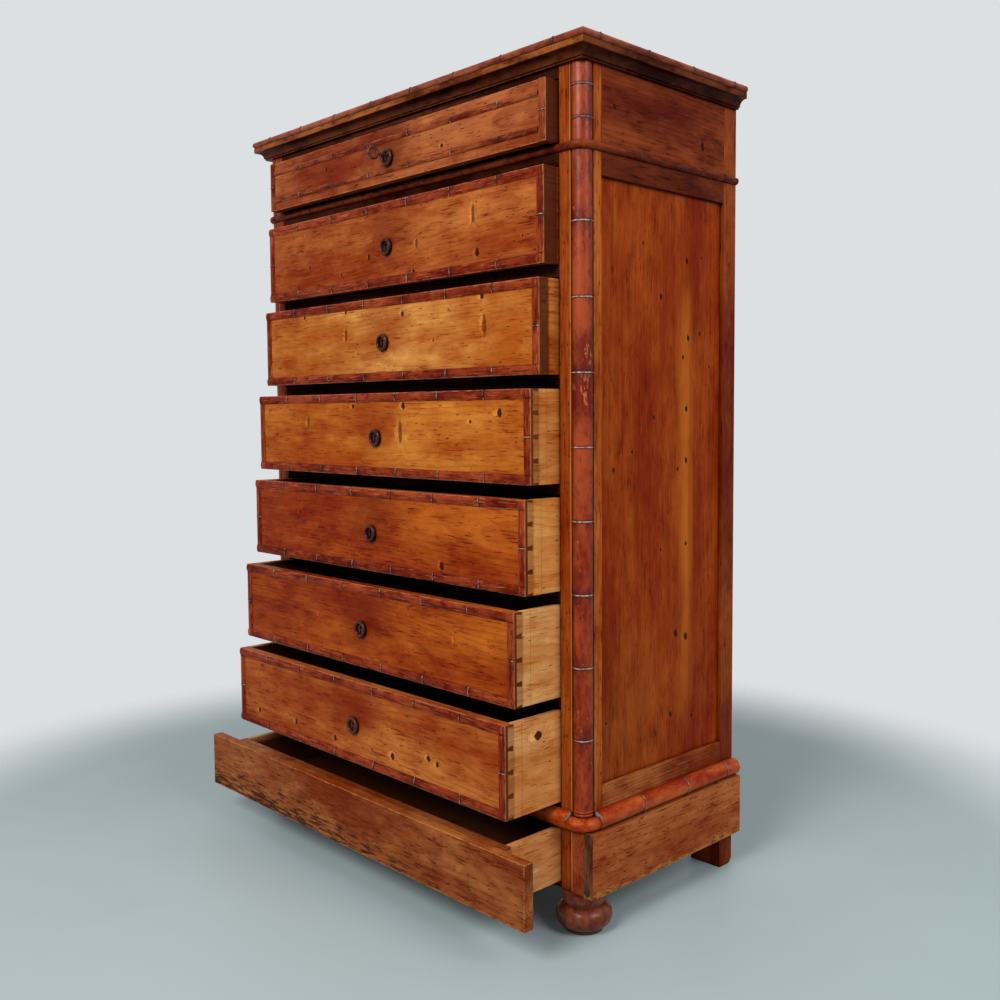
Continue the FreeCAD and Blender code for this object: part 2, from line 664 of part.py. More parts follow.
def bolt_way(name, bottom, height):
    """The slot that a bolt slides in."""
    return box(name, ("-bolt_width / 2 - bolt_slack", "front_thickness + bolt_set_back - bolt_slack", bottom),
               ("bolt_width + 2 * bolt_slack", "bolt_thickness + 2 * bolt_slack", height))


def lock(number, screws):
    """A lock case screwed behind the front, open towards it, with a staple that steadies the bolt."""
    name = "drawer_%d_lock" % number
    floor = key_height(number) + " - lock_below"
    high = "(lock_below + lock_above)"
    plate = box(name + "_plate", ("-lock_width / 2 - lock_flange", "front_thickness", floor),
                ("lock_width + 2 * lock_flange", "lock_wall", high))
    cover = box(name + "_cover", ("-lock_width / 2", "front_thickness", floor),
                ("lock_width", "lock_thickness", high))
    hollow = box(name + "_hollow", ("lock_wall - lock_width / 2", "front_thickness", floor + " + lock_wall"),
                 ("lock_width - 2 * lock_wall", "lock_thickness - lock_wall", high + " - 2 * lock_wall"))
    way = bolt_way(name + "_way", key_height(number), "2 * lock_above")
    shell = cut(name + "_shell", fuse(name + "_outer", [plate, cover]),
                fuse(name + "_inner", [hollow, way]))
    parts = [cut(name + "_case", shell, group(name + "_screws", screws))] + screws
    if number > 1:
        level = "%s - staple_drop - staple_height" % height_of(number)
        staple = box(name + "_staple_block", ("-staple_width / 2", "front_thickness", level),
                     ("staple_width", "staple_depth", "staple_height"))
        parts.append(cut(name + "_staple", staple, bolt_way(name + "_staple_way", level, "staple_height")))
    node(name, parts, number)


def bolt(number):
    """A flat bolt that rises from the lock case to the drawer's top edge."""
    name = "drawer_%d_bolt" % number
    foot_z = key_height(number) + " + bolt_rise"
    near = "front_thickness + bolt_set_back"
    bar = box(name + "_bar", ("-bolt_width / 2", near, foot_z),
              ("bolt_width", "bolt_thickness", "%s - bolt_top_gap - (%s)" % (height_of(number), foot_z)))
    foot = box(name + "_foot", ("-bolt_foot_width / 2", near, foot_z),
               ("bolt_foot_width", "bolt_thickness", "bolt_foot_height"))
    node(name, [fuse(name + "_piece", [bar, foot])], number)


def escutcheon(number):
    """A turned keyhole ring: a raised rim round a sunk middle."""
    name = "drawer_%d_escutcheon" % number
    level = key_height(number) + " - escutcheon_drop"
    disc = cylinder(name + "_disc", "escutcheon_radius - escutcheon_rim / 2",
                    "escutcheon_stand - escutcheon_rim * 3 / 2",
                    ("0", "band_relief - escutcheon_stand + escutcheon_rim * 3 / 2", level), INTO_CASE)
    rim = torus(name + "_rim", "escutcheon_radius - escutcheon_rim", "escutcheon_rim",
                ("0", "band_relief - escutcheon_stand + escutcheon_rim", level), INTO_CASE)
    hole = keyhole(name + "_keyhole", number, "band_relief - escutcheon_stand", "escutcheon_stand")
    node(name, [cut(name + "_ring", fuse(name + "_turned", [disc, rim]), hole)], number)


def band(name, width, length, middle, turn, ridges):
    """A low half-round strip with bamboo ridges. Local y stands out from the drawer front."""
    crown = "((%s * %s / 4 + band_crown * band_crown) / (2 * band_crown))" % (width, width)
    x, z = middle
    across = turn == ALONG_FRONT
    centre_y = "%s" % crown
    start = ("%s - %s / 2" % (x, length), centre_y, z) if across else (x, centre_y, "%s + %s / 2" % (z, length))
    rounds = [cylinder(name + "_crown", crown, length, start, turn)]
    for count, along in enumerate(ridges):
        at = (along + " - band_ridge_width / 2", centre_y, z) if across \
            else (x, centre_y, along + " + band_ridge_width / 2")
        rounds.append(cylinder("%s_ridge_%d" % (name, count), crown + " + band_ridge",
                               "band_ridge_width", at, turn))
    size = (length, "band_relief + band_ridge", width) if across else (width, "band_relief + band_ridge", length)
    low = ("%s - %s / 2" % (x, size[0]), "-band_ridge", "%s - %s / 2" % (z, size[2]))
    limit = box(name + "_limit", low, size)
    return common(name, fuse(name + "_rounds", rounds), limit)


def banding(number):
    """The bamboo border of a drawer front."""
    name = "drawer_%d_band" % number
    high = height_of(number)
    top_drawer = number == 1
    width = "top_band_width" if top_drawer else "band_width"
    inset = "top_band_inset" if top_drawer else "0"
    long_run = "(2 * (%s - band_width))" % DRAWER_HALF if top_drawer else "(2 * %s)" % DRAWER_HALF
    short_run = high if top_drawer else "(%s - 2 * band_width)" % high
    ridges = rings_each_way(DRAWER_HALF)
    strips = [
        band(name + "_bottom", width, long_run, ("0", "(%s + %s / 2)" % (inset, width)), ALONG_FRONT, ridges),
        band(name + "_top", width, long_run, ("0", "(%s - %s - %s / 2)" % (high, inset, width)),
             ALONG_FRONT, ridges),
    ]
    upright = band(name + "_end", "band_width", short_run,
                   ("(%s - band_width / 2)" % DRAWER_HALF, "(%s / 2)" % high), UP_BAND, [high + " / 2"])
    node("drawer_%d_banding" % number, strips + pair(name + "_end", upright), number)


def drawer_front(number, tail_parts, cutters):
    name = "drawer_%d_front" % number
    if number == PLINTH_DRAWER:
        half = "(%s + plinth_board - apron_margin)" % HALF
        board = fuse(name + "_board", [
            box(name + "_apron", ("-" + half, "-apron_thickness", "-apron_drop"),
                ("2 * " + half, "apron_thickness", "apron_height")),
            box(name + "_core", ("-" + DRAWER_HALF, "0", "0"),
                ("2 * " + DRAWER_HALF, "front_thickness", height_of(number))),
        ])
    else:
        board = box(name + "_board", ("-" + DRAWER_HALF, "band_relief", "0"),
                    ("2 * " + DRAWER_HALF, "front_thickness - band_relief", height_of(number)))
    right = group(name + "_sockets", tail_parts)
    parts = [right, mirror(name + "_sockets_left", right)] + cutters
    node(name, [cut(name + "_piece", board, group(name + "_cutters", parts))], number)


def drawer_box(number, tail_parts, groove):
    """Two dovetailed sides, a back and a bottom let into grooves."""
    name = "drawer_%d_box" % number
    high = height_of(number)
    board = box(name + "_side_board", (DRAWER_HALF + " - side_thickness", "front_thickness", "0"),
                ("side_thickness", DRAWER_DEPTH + " - front_thickness", high))
    side = cut(name + "_side", fuse(name + "_side_tailed", [board] + tail_parts), groove)
    inner = "(%s - side_thickness)" % DRAWER_HALF
    floor_top = "(bottom_rise + bottom_thickness)"
    back = box(name + "_back",
               ("-" + inner, DRAWER_DEPTH + " - drawer_back_inset - drawer_back_thickness", floor_top),
               ("2 * " + inner, "drawer_back_thickness", "%s - %s - drawer_back_drop" % (high, floor_top)))
    node(name, pair(name + "_side", side) + [back, bottom_board(name + "_bottom", "0")], number)


for number in range(1, PLINTH_DRAWER + 1):
    label = "drawer_%d" % number
    tail_count = 3 if number in (1, PLINTH_DRAWER) else 4
    tail_parts = tails(label, height_of(number), tail_count)
    groove = bottom_board(label + "_groove", "fit_gap")
    cutters = [groove]
    if number in LOCKED_DRAWERS:
        screws = lock_screws(label, number)
        cutters += screws
        cutters.append(keyhole(label + "_keyhole", number, "band_relief", "front_thickness - band_relief"))
        lock(number, screws)
        bolt(number)
        escutcheon(number)
        banding(number)
    drawer_front(number, tail_parts, cutters)
    drawer_box(number, tail_parts, groove)


def key():
    """The key that stands in the top drawer's lock, its bit hanging down inside the case."""
    level = key_height(1)
    bit_near = "front_thickness + bit_set_back"
    shank_near = "bow_radius - bow_reach"
    node("key", [fuse("key_piece", [
        torus("key_bow", "bow_radius", "bow_bar_radius", ("0", "-bow_reach", level), CROSSWISE),
        cylinder("key_shank", "key_shank_radius", "%s + bit_depth - (%s)" % (bit_near, shank_near),
                 ("0", shank_near, level), INTO_CASE),
        box("key_bit", ("-bit_width / 2", bit_near, level + " - bit_radius"),
            ("bit_width", "bit_depth", "bit_radius")),
    ])], 1)


key()

# ---------------------------------------------------------------- check and write

doc.recompute()
for item in doc.Objects:
    if "Invalid" in item.State or "Error" in item.State:
        raise RuntimeError("%s could not be built" % item.Name)
for name, piece in nodes.items():
    if piece.Shape.isNull() or not piece.Shape.isValid() or not piece.Shape.Solids:
        raise RuntimeError("%s is not a valid shape" % name)

os.makedirs("parts", exist_ok=True)
for name, piece in nodes.items():
    piece.Label = name
    piece.Shape.exportStep("parts/%s.step" % name)
print("%d sub-parts, %d solids" % (len(nodes), sum(len(piece.Shape.Solids) for piece in nodes.values())))
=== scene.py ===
"""The looks of a pine semainier trimmed as bamboo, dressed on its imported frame.

Metres, +Z up, the front faces -Y. Every wooden surface is solid wood: its growth rings, knots and
wear are worked out from the place in the board, so they run on round the board's corners.
"""
import bmesh
import bpy
import math
from mathutils import Matrix, Vector


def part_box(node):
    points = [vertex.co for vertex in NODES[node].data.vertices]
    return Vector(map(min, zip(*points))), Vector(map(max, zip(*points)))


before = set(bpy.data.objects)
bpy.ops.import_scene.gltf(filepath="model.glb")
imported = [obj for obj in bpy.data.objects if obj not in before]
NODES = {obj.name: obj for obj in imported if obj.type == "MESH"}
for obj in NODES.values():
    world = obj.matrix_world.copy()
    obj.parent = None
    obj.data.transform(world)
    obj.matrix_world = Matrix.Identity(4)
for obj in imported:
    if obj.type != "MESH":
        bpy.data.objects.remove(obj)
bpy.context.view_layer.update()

MM = 0.001
DRAWERS = range(1, 9)
LOCKED_DRAWERS = range(1, 8)
PLINTH_DRAWER = 8

# Planes, widths and heights of the case that the finish follows.
FRONT_PLANE = -135.4 * MM
CASE_HALF = 480 * MM
DRAWER_HALF = 426 * MM
PLINTH_BOTTOM = 68.5 * MM
PLINTH_TOP = 181 * MM
REBATE = 27 * MM
COLUMN_INSET = 18.5 * MM
RINGS_FROM = 212 * MM
RING_PITCH = 124.75 * MM
LOWER_COLUMN_RINGS = 8
UPPER_COLUMN_MIDDLE = 1403.7 * MM
UPPER_RING_PITCH = 53.7 * MM
BAND_WIDTH = 17 * MM
DRAWER_SIDE = 12 * MM
BOTTOM_RAIL_TOP = 252 * MM
TOP_RAIL_BOTTOM = 1288 * MM
FRIEZE_BOTTOM = 1333 * MM
CORNICE_FILLET = 1484 * MM
BACK_BOARDS = 4
# Where the two boards of a side panel meet, back from the origin.
PANEL_JOINT = 166 * MM


# ---------------------------------------------------------------- shader arithmetic

# The places of a mix node's colours among its sockets.
MIX_FIRST, MIX_SECOND, MIX_RESULT = 6, 7, 2


class Field:
    """A number, colour or place that varies over a surface: one output of a shader node.

    The operators are for numbers. Places are added with vector_maths.
    """

    def __init__(self, tree, socket):
        self.tree = tree
        self.socket = socket

    def __add__(self, other):
        return maths("ADD", self, other)

    __radd__ = __add__

    def __sub__(self, other):
        return maths("SUBTRACT", self, other)

    def __rsub__(self, other):
        return maths("SUBTRACT", other, self)

    def __mul__(self, other):
        return maths("MULTIPLY", self, other)

    __rmul__ = __mul__

    def __truediv__(self, other):
        return maths("DIVIDE", self, other)


def feed(tree, socket, value):
    """Link a field to a socket, or set a plain value on it."""
    if isinstance(value, Field):
        tree.links.new(value.socket, socket)
    else:
        socket.default_value = value


def tree_of(values):
    return next(value.tree for value in values if isinstance(value, Field))


def operate(kind, operation, values):
    """A new arithmetic node, fed with the values."""
    tree = tree_of(values)
    node = tree.nodes.new(kind)
    node.operation = operation
    for socket, value in zip(node.inputs, values):
        feed(tree, socket, value)
    return tree, node


def maths(operation, *values):
    tree, node = operate("ShaderNodeMath", operation, values)
    return Field(tree, node.outputs[0])


def vector_maths(operation, *values):
    tree, node = operate("ShaderNodeVectorMath", operation, values)
    return Field(tree, node.outputs["Value" if operation == "LENGTH" else "Vector"])


def absolute(value):
    return maths("ABSOLUTE", value)


def lesser(first, second):
    return maths("MINIMUM", first, second)


def greater(first, second):
    return maths("MAXIMUM", first, second)


def rise(value, low, high):
    """0 at low and 1 at high, easing between them. High may be below low."""
    tree = value.tree
    node = tree.nodes.new("ShaderNodeMapRange")
    node.interpolation_type = "SMOOTHSTEP"
    feed(tree, node.inputs["Value"], value)
    node.inputs["From Min"].default_value = low
    node.inputs["From Max"].default_value = high
    return Field(tree, node.outputs["Result"])


def choose(amount, low, high):
    """A number that goes from low to high with amount."""
    return low + (high - low) * amount


def colour_mix(amount, low, high):
    """A colour that goes from low to high with amount."""
    tree = tree_of((amount, low, high))
    node = tree.nodes.new("ShaderNodeMix")
    node.data_type = "RGBA"
    feed(tree, node.inputs["Factor"], amount)
    feed(tree, node.inputs[MIX_FIRST], low)
    feed(tree, node.inputs[MIX_SECOND], high)
    return Field(tree, node.outputs[MIX_RESULT])


def tinted(amount, colour, tint):
    """The colour, multiplied by the tint as far as amount goes, so its grain stays."""
    return colour_mix(amount, colour, vector_maths("MULTIPLY", colour, tint))


def join(x, y, z):
    tree = tree_of((x, y, z))
    node = tree.nodes.new("ShaderNodeCombineXYZ")
    for socket, value in zip(node.inputs, (x, y, z)):
        feed(tree, socket, value)
    return Field(tree, node.outputs[0])


def split(place):
    node = place.tree.nodes.new("ShaderNodeSeparateXYZ")
    feed(place.tree, node.inputs[0], place)
    return [Field(place.tree, socket) for socket in node.outputs]


def scaled(place, scales, seed):
    """The place stretched by scales and shifted to a part of the noise that is the seed's own."""
    shift = (seed * 7.31 % 53, seed * 3.17 % 47, seed * 5.93 % 41)
    return vector_maths("MULTIPLY_ADD", place, scales, shift)


def noise(place, scales, seed, detail=2.0, roughness=0.55):
    """Cloudy noise about 0, with its own scale in each direction."""
    tree = place.tree
    node = tree.nodes.new("ShaderNodeTexNoise")
    feed(tree, node.inputs["Vector"], scaled(place, scales, seed))
    node.inputs["Scale"].default_value = 1.0
    node.inputs["Detail"].default_value = detail
    node.inputs["Roughness"].default_value = roughness
    return Field(tree, node.outputs["Fac"]) - 0.5


def cloud_of(place, seed):
    """Soft patches a hand's breadth wide."""
    return noise(place, (8.0, 8.0, 8.0), seed, 2.0, 0.5)


def flecks(place, scales, seed, share, size):
    """Small marks scattered at random, in a share of the cells of a net."""
    tree = place.tree
    node = tree.nodes.new("ShaderNodeTexVoronoi")
    feed(tree, node.inputs["Vector"], scaled(place, scales, seed))
    node.inputs["Scale"].default_value = 1.0
    chance = split(Field(tree, node.outputs["Color"]))[0]
    mark = rise(Field(tree, node.outputs["Distance"]), size, size * 0.35)
    return mark * rise(chance, 1 - share, 1 - share + 0.03)


def linear(code, strength=1.0):
    """A colour written as #rrggbb, as linear light. More strength is a darker, redder stain."""
    parts = [int(code[start:start + 2], 16) / 255 for start in (1, 3, 5)]
    light = [part / 12.92 if part <= 0.04045 else ((part + 0.055) / 1.055) ** 2.4 for part in parts]
    return tuple(value ** strength for value in light) + (1.0,)


def new_material(name):
    """A material with its tree, its shader node and the place on the object."""
    material = bpy.data.materials.new(name)
    material.use_nodes = True
    tree = material.node_tree
    shader = tree.nodes["Principled BSDF"]
    coordinates = tree.nodes.new("ShaderNodeTexCoord")
    return material, tree, shader, Field(tree, coordinates.outputs["Object"])


def crevice(tree, reach):
    """1 deep in corners and seams, 0 in the open: where painted shade, with some grime, goes."""
    node = tree.nodes.new("ShaderNodeAmbientOcclusion")
    node.samples = 4
    node.inputs["Distance"].default_value = reach
    return rise(Field(tree, node.outputs["AO"]), 0.85, 0.35)


def finish_surface(tree, shader, colour, roughness, height, depth, coat=0.0, shine=0.2):
    """Put the colour, the gloss and the relief on the shader. Depth is the relief's in metres."""
    feed(tree, shader.inputs["Base Color"], colour)
    feed(tree, shader.inputs["Roughness"], roughness)
    shader.inputs["Specular IOR Level"].default_value = shine
    shader.inputs["Coat Weight"].default_value = coat
    shader.inputs["Coat Roughness"].default_value = 0.2
    bump = tree.nodes.new("ShaderNodeBump")
    bump.inputs["Strength"].default_value = 0.7
    bump.inputs["Distance"].default_value = depth
    feed(tree, bump.inputs["Height"], height)
    tree.links.new(bump.outputs["Normal"], shader.inputs["Normal"])


def mix_shaders(tree, amount, first, second, output):
    """Show the first shader node where amount is 0 and the second where it is 1."""
    mixer = tree.nodes.new("ShaderNodeMixShader")
    feed(tree, mixer.inputs[0], amount)
    tree.links.new(first.outputs[0], mixer.inputs[1])
    tree.links.new(second.outputs[0], mixer.inputs[2])
    tree.links.new(mixer.outputs[0], output)


# ---------------------------------------------------------------- pine boards

# How fine each pattern in a board is, per metre: along the grain, across it, into the board.
RING_WANDER = (1.6, 5.0, 5.0)
RING_RIPPLE = (9.0, 26.0, 26.0)
FIBRE = (16.0, 420.0, 420.0)
CLOUD = (2.6, 8.0, 8.0)
BLOTCH = (16.0, 34.0, 34.0)
STREAK = (1.3, 30.0, 30.0)
NICK = (26.0, 330.0, 330.0)
SMALL_PIT = (60.0, 260.0, 260.0)
LARGE_PIT = (34.0, 110.0, 110.0)
CHIP = (60.0, 160.0, 160.0)

# What the stain has done to soft and hard patches, and the resin to the wood beside a knot.
SOAKED_TINT = (0.74, 0.62, 0.5)
FADED_TINT = (1.22, 1.4, 1.5)
RESIN_TINT = (1.7, 2.1, 2.2)
KNOT_CORE = "#280b05"
PIT_COLOUR = "#351208"
# The colour of the painted shade, with some grime, in corners and seams.
PINE_SHADE_AND_GRIME = "#160703"


def along_x(x, y, z):
    return x, z, y


def along_y(x, y, z):
    return y, z, x


def along_z(x, y, z):
    return z, y, x


def knot_marks(along, across, knots, aside):
    """The dark cores of the knots, the pale wood beside them, and how far they push the rings.

    A knot is its place along the grain and across it, its radius along the grain, and how many
    times that it reaches across. aside shifts the pale wood away from the core, in radii.
    """
    core, halo, push = 0.0, 0.0, 0.0
    for knot_along, knot_across, radius, tall in knots:
        beside = (along - knot_along) / radius
        above = (across - knot_across) / (radius * tall)
        at = join(beside, above, 0.0)
        wobble = noise(at, (0.9, 0.9, 0.9), radius * 9000, 3.0, 0.65) * 1.3
        gap = vector_maths("LENGTH", at) + wobble
        darkness = 1.0 if tall < 2 else 0.7
        core = greater(core, rise(gap, 1.25, 0.8) * darkness)
        pale_at = join(beside * 0.7 + aside[0], above * 0.9 + aside[1], 0.0)
        frayed = noise(at, (0.5, 0.35, 0.5), radius * 7000, 3.0, 0.7) * 2.6
        halo = greater(halo, rise(vector_maths("LENGTH", pale_at) + frayed, 1.3, 0.2))
        push = push + rise(gap, 4.0, 0.2) * (radius * 1.6)
    return core, halo, push


def growth_rings(along, across, depth, heart, spacing, slope, push, seed):
    """The dark late wood of the rings round a heart behind the board, and each ring's strength."""
    wood = join(along, across, depth)
    wander = noise(wood, RING_WANDER, seed, 1.0) * (34 * MM)
    ripple = noise(wood, RING_RIPPLE, seed + 1, 2.0) * (7 * MM)
    offset = join(across - heart[0], depth - heart[1], 0.0)
    radius = vector_maths("LENGTH", offset) + wander + ripple + along * slope + push
    turns = radius / spacing
    ring = maths("FRACT", turns)
    late = rise(ring, 0.45, 0.92) * rise(ring, 1.0, 0.95)
    of_each_ring = join(maths("FLOOR", turns), along * 2.5, 0.0)
    strength = noise(of_each_ring, (0.37, 1.0, 1.0), seed + 2, 1.0) + 0.75
    return late, strength


def board_pits(wood, blotch, seed, pits):
    """Small and large pits, in lines that bend a little."""
    bent = vector_maths("ADD", wood, join(blotch * 0.02, blotch * 0.01, 0.0))
    small = flecks(bent, SMALL_PIT, seed + 6, pits, 0.34)
    return greater(small, flecks(bent, LARGE_PIT, seed + 7, pits * 0.6, 0.2))


def edge_gap(place, low, high):
    """How far a point of a box's surface is from the box's nearest edge."""
    gaps = []
    for coordinate, least, most in zip(split(place), low, high):
        middle = (least + most) / 2
        gaps.append((most - least) / 2 - absolute(coordinate - middle))
    total = gaps[0] + gaps[1] + gaps[2]
    return total - greater(greater(gaps[0], gaps[1]), gaps[2])


def pine(name, tone, grain, seed, heart=(0.0, 0.09), spacing=6.5 * MM, slope=0.02, knots=(),
         aside=(1.1, 0.0), stain=0.5, pits=0.1, worn=None, rough=0.42, shade_and_grime=0.8, contrast=0.35,
         streaks=0.25, dashes=0.85, shine=0.04, halos=0.6, cores=0.95, extra=None):
    """A board of pine: rings round a heart that lies behind it, knots, stains, pits and worn edges.

    grain turns a place into its distance along the grain, across it, and into the board.
    worn is the board's box, for wear along its edges. extra adds marks of the board's own.
    """
    material, tree, shader, place = new_material(name)
    along, across, depth = grain(*split(place))
    wood = join(along, across, depth)
    core, halo, push = knot_marks(along, across, knots, aside)
    late, strength = growth_rings(along, across, depth, heart, spacing, slope, push, seed)
    fibre = noise(wood, FIBRE, seed + 3, 3.0, 0.6)
    cloud = noise(wood, CLOUD, seed + 4, 2.0, 0.5)
    blotch = noise(wood, BLOTCH, seed + 5, 3.0, 0.65)
    streak = noise(wood, STREAK, seed + 9, 4.0, 0.65)
    nick = noise(wood, NICK, seed + 10, 2.0, 0.5)
    pitted = board_pits(wood, blotch, seed, pits)

    stained = rise(cloud + blotch * 0.3 + streak * streaks, -0.24, 0.24)
    colour = colour_mix(stained, linear(tone, 1 - stain * 0.4), linear(tone, 1 + stain * 0.62))
    colour = colour_mix(late * strength * contrast, colour, linear(tone, 1.7))
    colour = tinted(rise(blotch, -0.02, 0.26) * 0.7, colour, SOAKED_TINT)
    colour = tinted(rise(blotch, -0.04, -0.26) * 0.7, colour, FADED_TINT)
    colour = colour_mix(rise(fibre + blotch * 0.4, 0.0, 0.26) * 0.55, colour, linear(tone, 1.6))
    colour = colour_mix(rise(fibre, -0.05, -0.3) * 0.4, colour, linear(tone, 0.66))
    colour = colour_mix(rise(nick + blotch * 0.3, 0.11, 0.2) * dashes, colour, linear(tone, 2.0))
    colour = colour_mix(pitted * 0.8, colour, linear(PIT_COLOUR))
    if worn:
        ragged = noise(wood, CHIP, seed + 8, 3.0) * (7 * MM)
        chipped = rise(edge_gap(place, *worn) + ragged, 1.6 * MM, 0.2 * MM)
        colour = colour_mix(chipped * 0.5, colour, linear(tone, 0.6))
    if extra:
        colour = extra(place, colour)
    if knots:
        colour = tinted(halo * halos, colour, RESIN_TINT)
        colour = colour_mix(core * cores, colour, linear(KNOT_CORE))
    # Painted shade, with some grime, darkens the board's corners and seams.
    colour = colour_mix(crevice(tree, 9 * MM) * shade_and_grime, colour, linear(PINE_SHADE_AND_GRIME))
    roughness = rise(blotch + fibre * 0.5, -0.4, 0.4) * 0.22 + (rough - 0.11)
    height = fibre * 0.5 - late * 0.35 - pitted * 1.2 - core * 0.8 + blotch * 0.5
    finish_surface(tree, shader, colour, roughness, height, 0.5 * MM, shine=shine)
    return material


# ---------------------------------------------------------------- turned work and metal

TURNED_CLOUD = (7.0, 20.0, 20.0)
TURNED_BLOTCH = (45.0, 90.0, 90.0)
TURNED_FIBRE = (30.0, 380.0, 380.0)
TURNED_SCUFF = (50.0, 120.0, 120.0)
TURNED_PIT = (70.0, 210.0, 210.0)
RAGGEDNESS = (120.0, 120.0, 120.0)
SPECKLE = (260.0, 260.0, 260.0)

SCUFF_COLOUR = "#b5683a"
TURNED_PIT_COLOUR = "#2a0c06"
SMEAR_COLOUR = "#3a120f"
GROOVE_SHADE_COLOUR = "#1f0905"
DULL_CREST = "#6b4232"
PALE_CREST = "#c2a899"
# The colour of the painted shade, with some grime, in corners, seams and the posts' rebates.
TURNED_SHADE_AND_GRIME = "#120603"


def worn_rings(place, colour, gap, crest_width, crests, smears, mottle, seed):
    """The colour with bamboo rings on it: smears, painted shade beside them, and crests worn pale with a
    painted highlight; and their relief.
    """
    ragged = noise(place, RAGGEDNESS, seed + 5, 3.0) * (4 * MM)
    groove_shade = rise(gap + ragged * 0.3, crest_width + 2.2 * MM, crest_width)
    crest = rise(gap + ragged, crest_width * 0.9, crest_width * 0.3)
    speckle = rise(noise(place, SPECKLE, seed + 6, 2.0), -0.2, 0.16)
    smear = rise(gap + ragged * 3.0, 22 * MM, 0.0) * rise(mottle, -0.1, 0.15)
    colour = colour_mix(smear * smears, colour, linear(SMEAR_COLOUR))
    # Painted shade in the grooves beside each ring.
    colour = colour_mix(groove_shade * 0.7, colour, linear(GROOVE_SHADE_COLOUR))
    # The crests: a pale worn finish, with a painted highlight.
    crest_colour = colour_mix(speckle, linear(DULL_CREST), linear(PALE_CREST))
    return colour_mix(crest * crests, colour, crest_colour), crest * 0.5 - groove_shade * 0.4


def turned(name, tone, grain, seed, ring_gap=None, rough=0.34, coat=0.04, scuffs=0.5, crests=0.8,
           crest_width=1.9 * MM, nicks=0.5, shine=0.1, smears=0.35, extra=None):
    """Red-stained and varnished wood: blotches, scuffs and bamboo rings, their crests worn pale with a
    painted highlight, and painted shade beside them.

    ring_gap turns a place into its distance from the nearest ring. extra adds the piece's own marks.
    """
    material, tree, shader, place = new_material(name)
    x, y, z = split(place)
    wood = join(*grain(x, y, z))
    cloud = noise(wood, TURNED_CLOUD, seed, 3.0, 0.6)
    blotch = noise(wood, TURNED_BLOTCH, seed + 1, 4.0, 0.65)
    fibre = noise(wood, TURNED_FIBRE, seed + 2, 2.0, 0.6)
    colour = colour_mix(rise(cloud + blotch * 0.5, -0.22, 0.22), linear(tone, 0.82), linear(tone, 1.45))
    colour = colour_mix(rise(fibre + blotch, 0.05, 0.3) * nicks, colour, linear(tone, 1.9))
    scuffed = rise(noise(wood, TURNED_SCUFF, seed + 3, 4.0, 0.7) + cloud * 0.7, 0.17, 0.25)
    colour = colour_mix(scuffed * scuffs, colour, linear(SCUFF_COLOUR))
    pitted = flecks(wood, TURNED_PIT, seed + 4, 0.14, 0.3)
    colour = colour_mix(pitted * 0.75, colour, linear(TURNED_PIT_COLOUR))
    height = blotch * 0.7 + fibre * 0.3 - pitted
    if ring_gap:
        colour, relief = worn_rings(place, colour, ring_gap(x, y, z), crest_width, crests, smears,
                                    cloud + blotch * 0.6, seed)
        height = height + relief
    if extra:
        colour = extra(place, colour)
    # Painted shade, with some grime, darkens the piece's corners and seams.
    colour = colour_mix(crevice(tree, 7 * MM) * 0.85, colour, linear(TURNED_SHADE_AND_GRIME))
    roughness = rise(blotch + cloud * 0.5, -0.4, 0.4) * 0.2 + (rough - 0.1)
    finish_surface(tree, shader, colour, roughness, height, 0.5 * MM, coat, shine)
    return material


def metal(name, tone, rust, seed, rough):
    """Old iron or steel, patchy and pitted."""
    material, tree, shader, place = new_material(name)
    cloud = noise(place, (90.0, 90.0, 90.0), seed, 4.0, 0.6)
    grit = noise(place, (900.0, 900.0, 900.0), seed + 1, 2.0)
    colour = colour_mix(rise(cloud, -0.1, 0.2), linear(tone), linear(rust))
    # Painted shade, with some grime, darkens the metal's corners and seams.
    colour = colour_mix(crevice(tree, 3 * MM) * 0.7, colour, linear("#120b08"))
    shader.inputs["Metallic"].default_value = 0.85
    roughness = rise(cloud + grit, -0.3, 0.3) * 0.3 + rough
    finish_surface(tree, shader, colour, roughness, grit + cloud, 0.2 * MM)
    return material


# ---------------------------------------------------------------- dressing a node

def dress(node, material):
    """Give a whole node one material."""
    mesh_object = NODES[node]
    mesh_object.data.materials.clear()
    mesh_object.data.materials.append(material)


def ease_edges(node, width):
    """Round a node's sharp edges a little, as years of dusting do.

    The weld joins the faces, so that the bevel finds the edges between them. It would also join
    solids that touch, so a node that holds such solids keeps its edges.
    """
    mesh_object = NODES[node]
    weld = mesh_object.modifiers.new("weld", "WELD")
    weld.merge_threshold = 0.02 * MM
    bevel = mesh_object.modifiers.new("bevel", "BEVEL")
    bevel.width = width
    bevel.segments = 2
    bevel.limit_method = "ANGLE"
    bevel.angle_limit = math.radians(40)
    bevel.use_clamp_overlap = True
    normals = mesh_object.modifiers.new("normals", "WEIGHTED_NORMAL")
    normals.weight = 100


# ---------------------------------------------------------------- drawers

DRAWER_TONES = {
    1: "#8c401a", 2: "#994817", 3: "#b46d29", 4: "#ad5c16",
    5: "#983c07", 6: "#963b06", 7: "#a24f18", 8: "#89431b",
}
DRAWER_BOX_TONES = {
    1: "#7e4321", 2: "#8a4119", 3: "#a85a20", 4: "#bc7434",
    5: "#cd8b47", 6: "#cc8e50", 7: "#cc8b4e", 8: "#c88851",
}
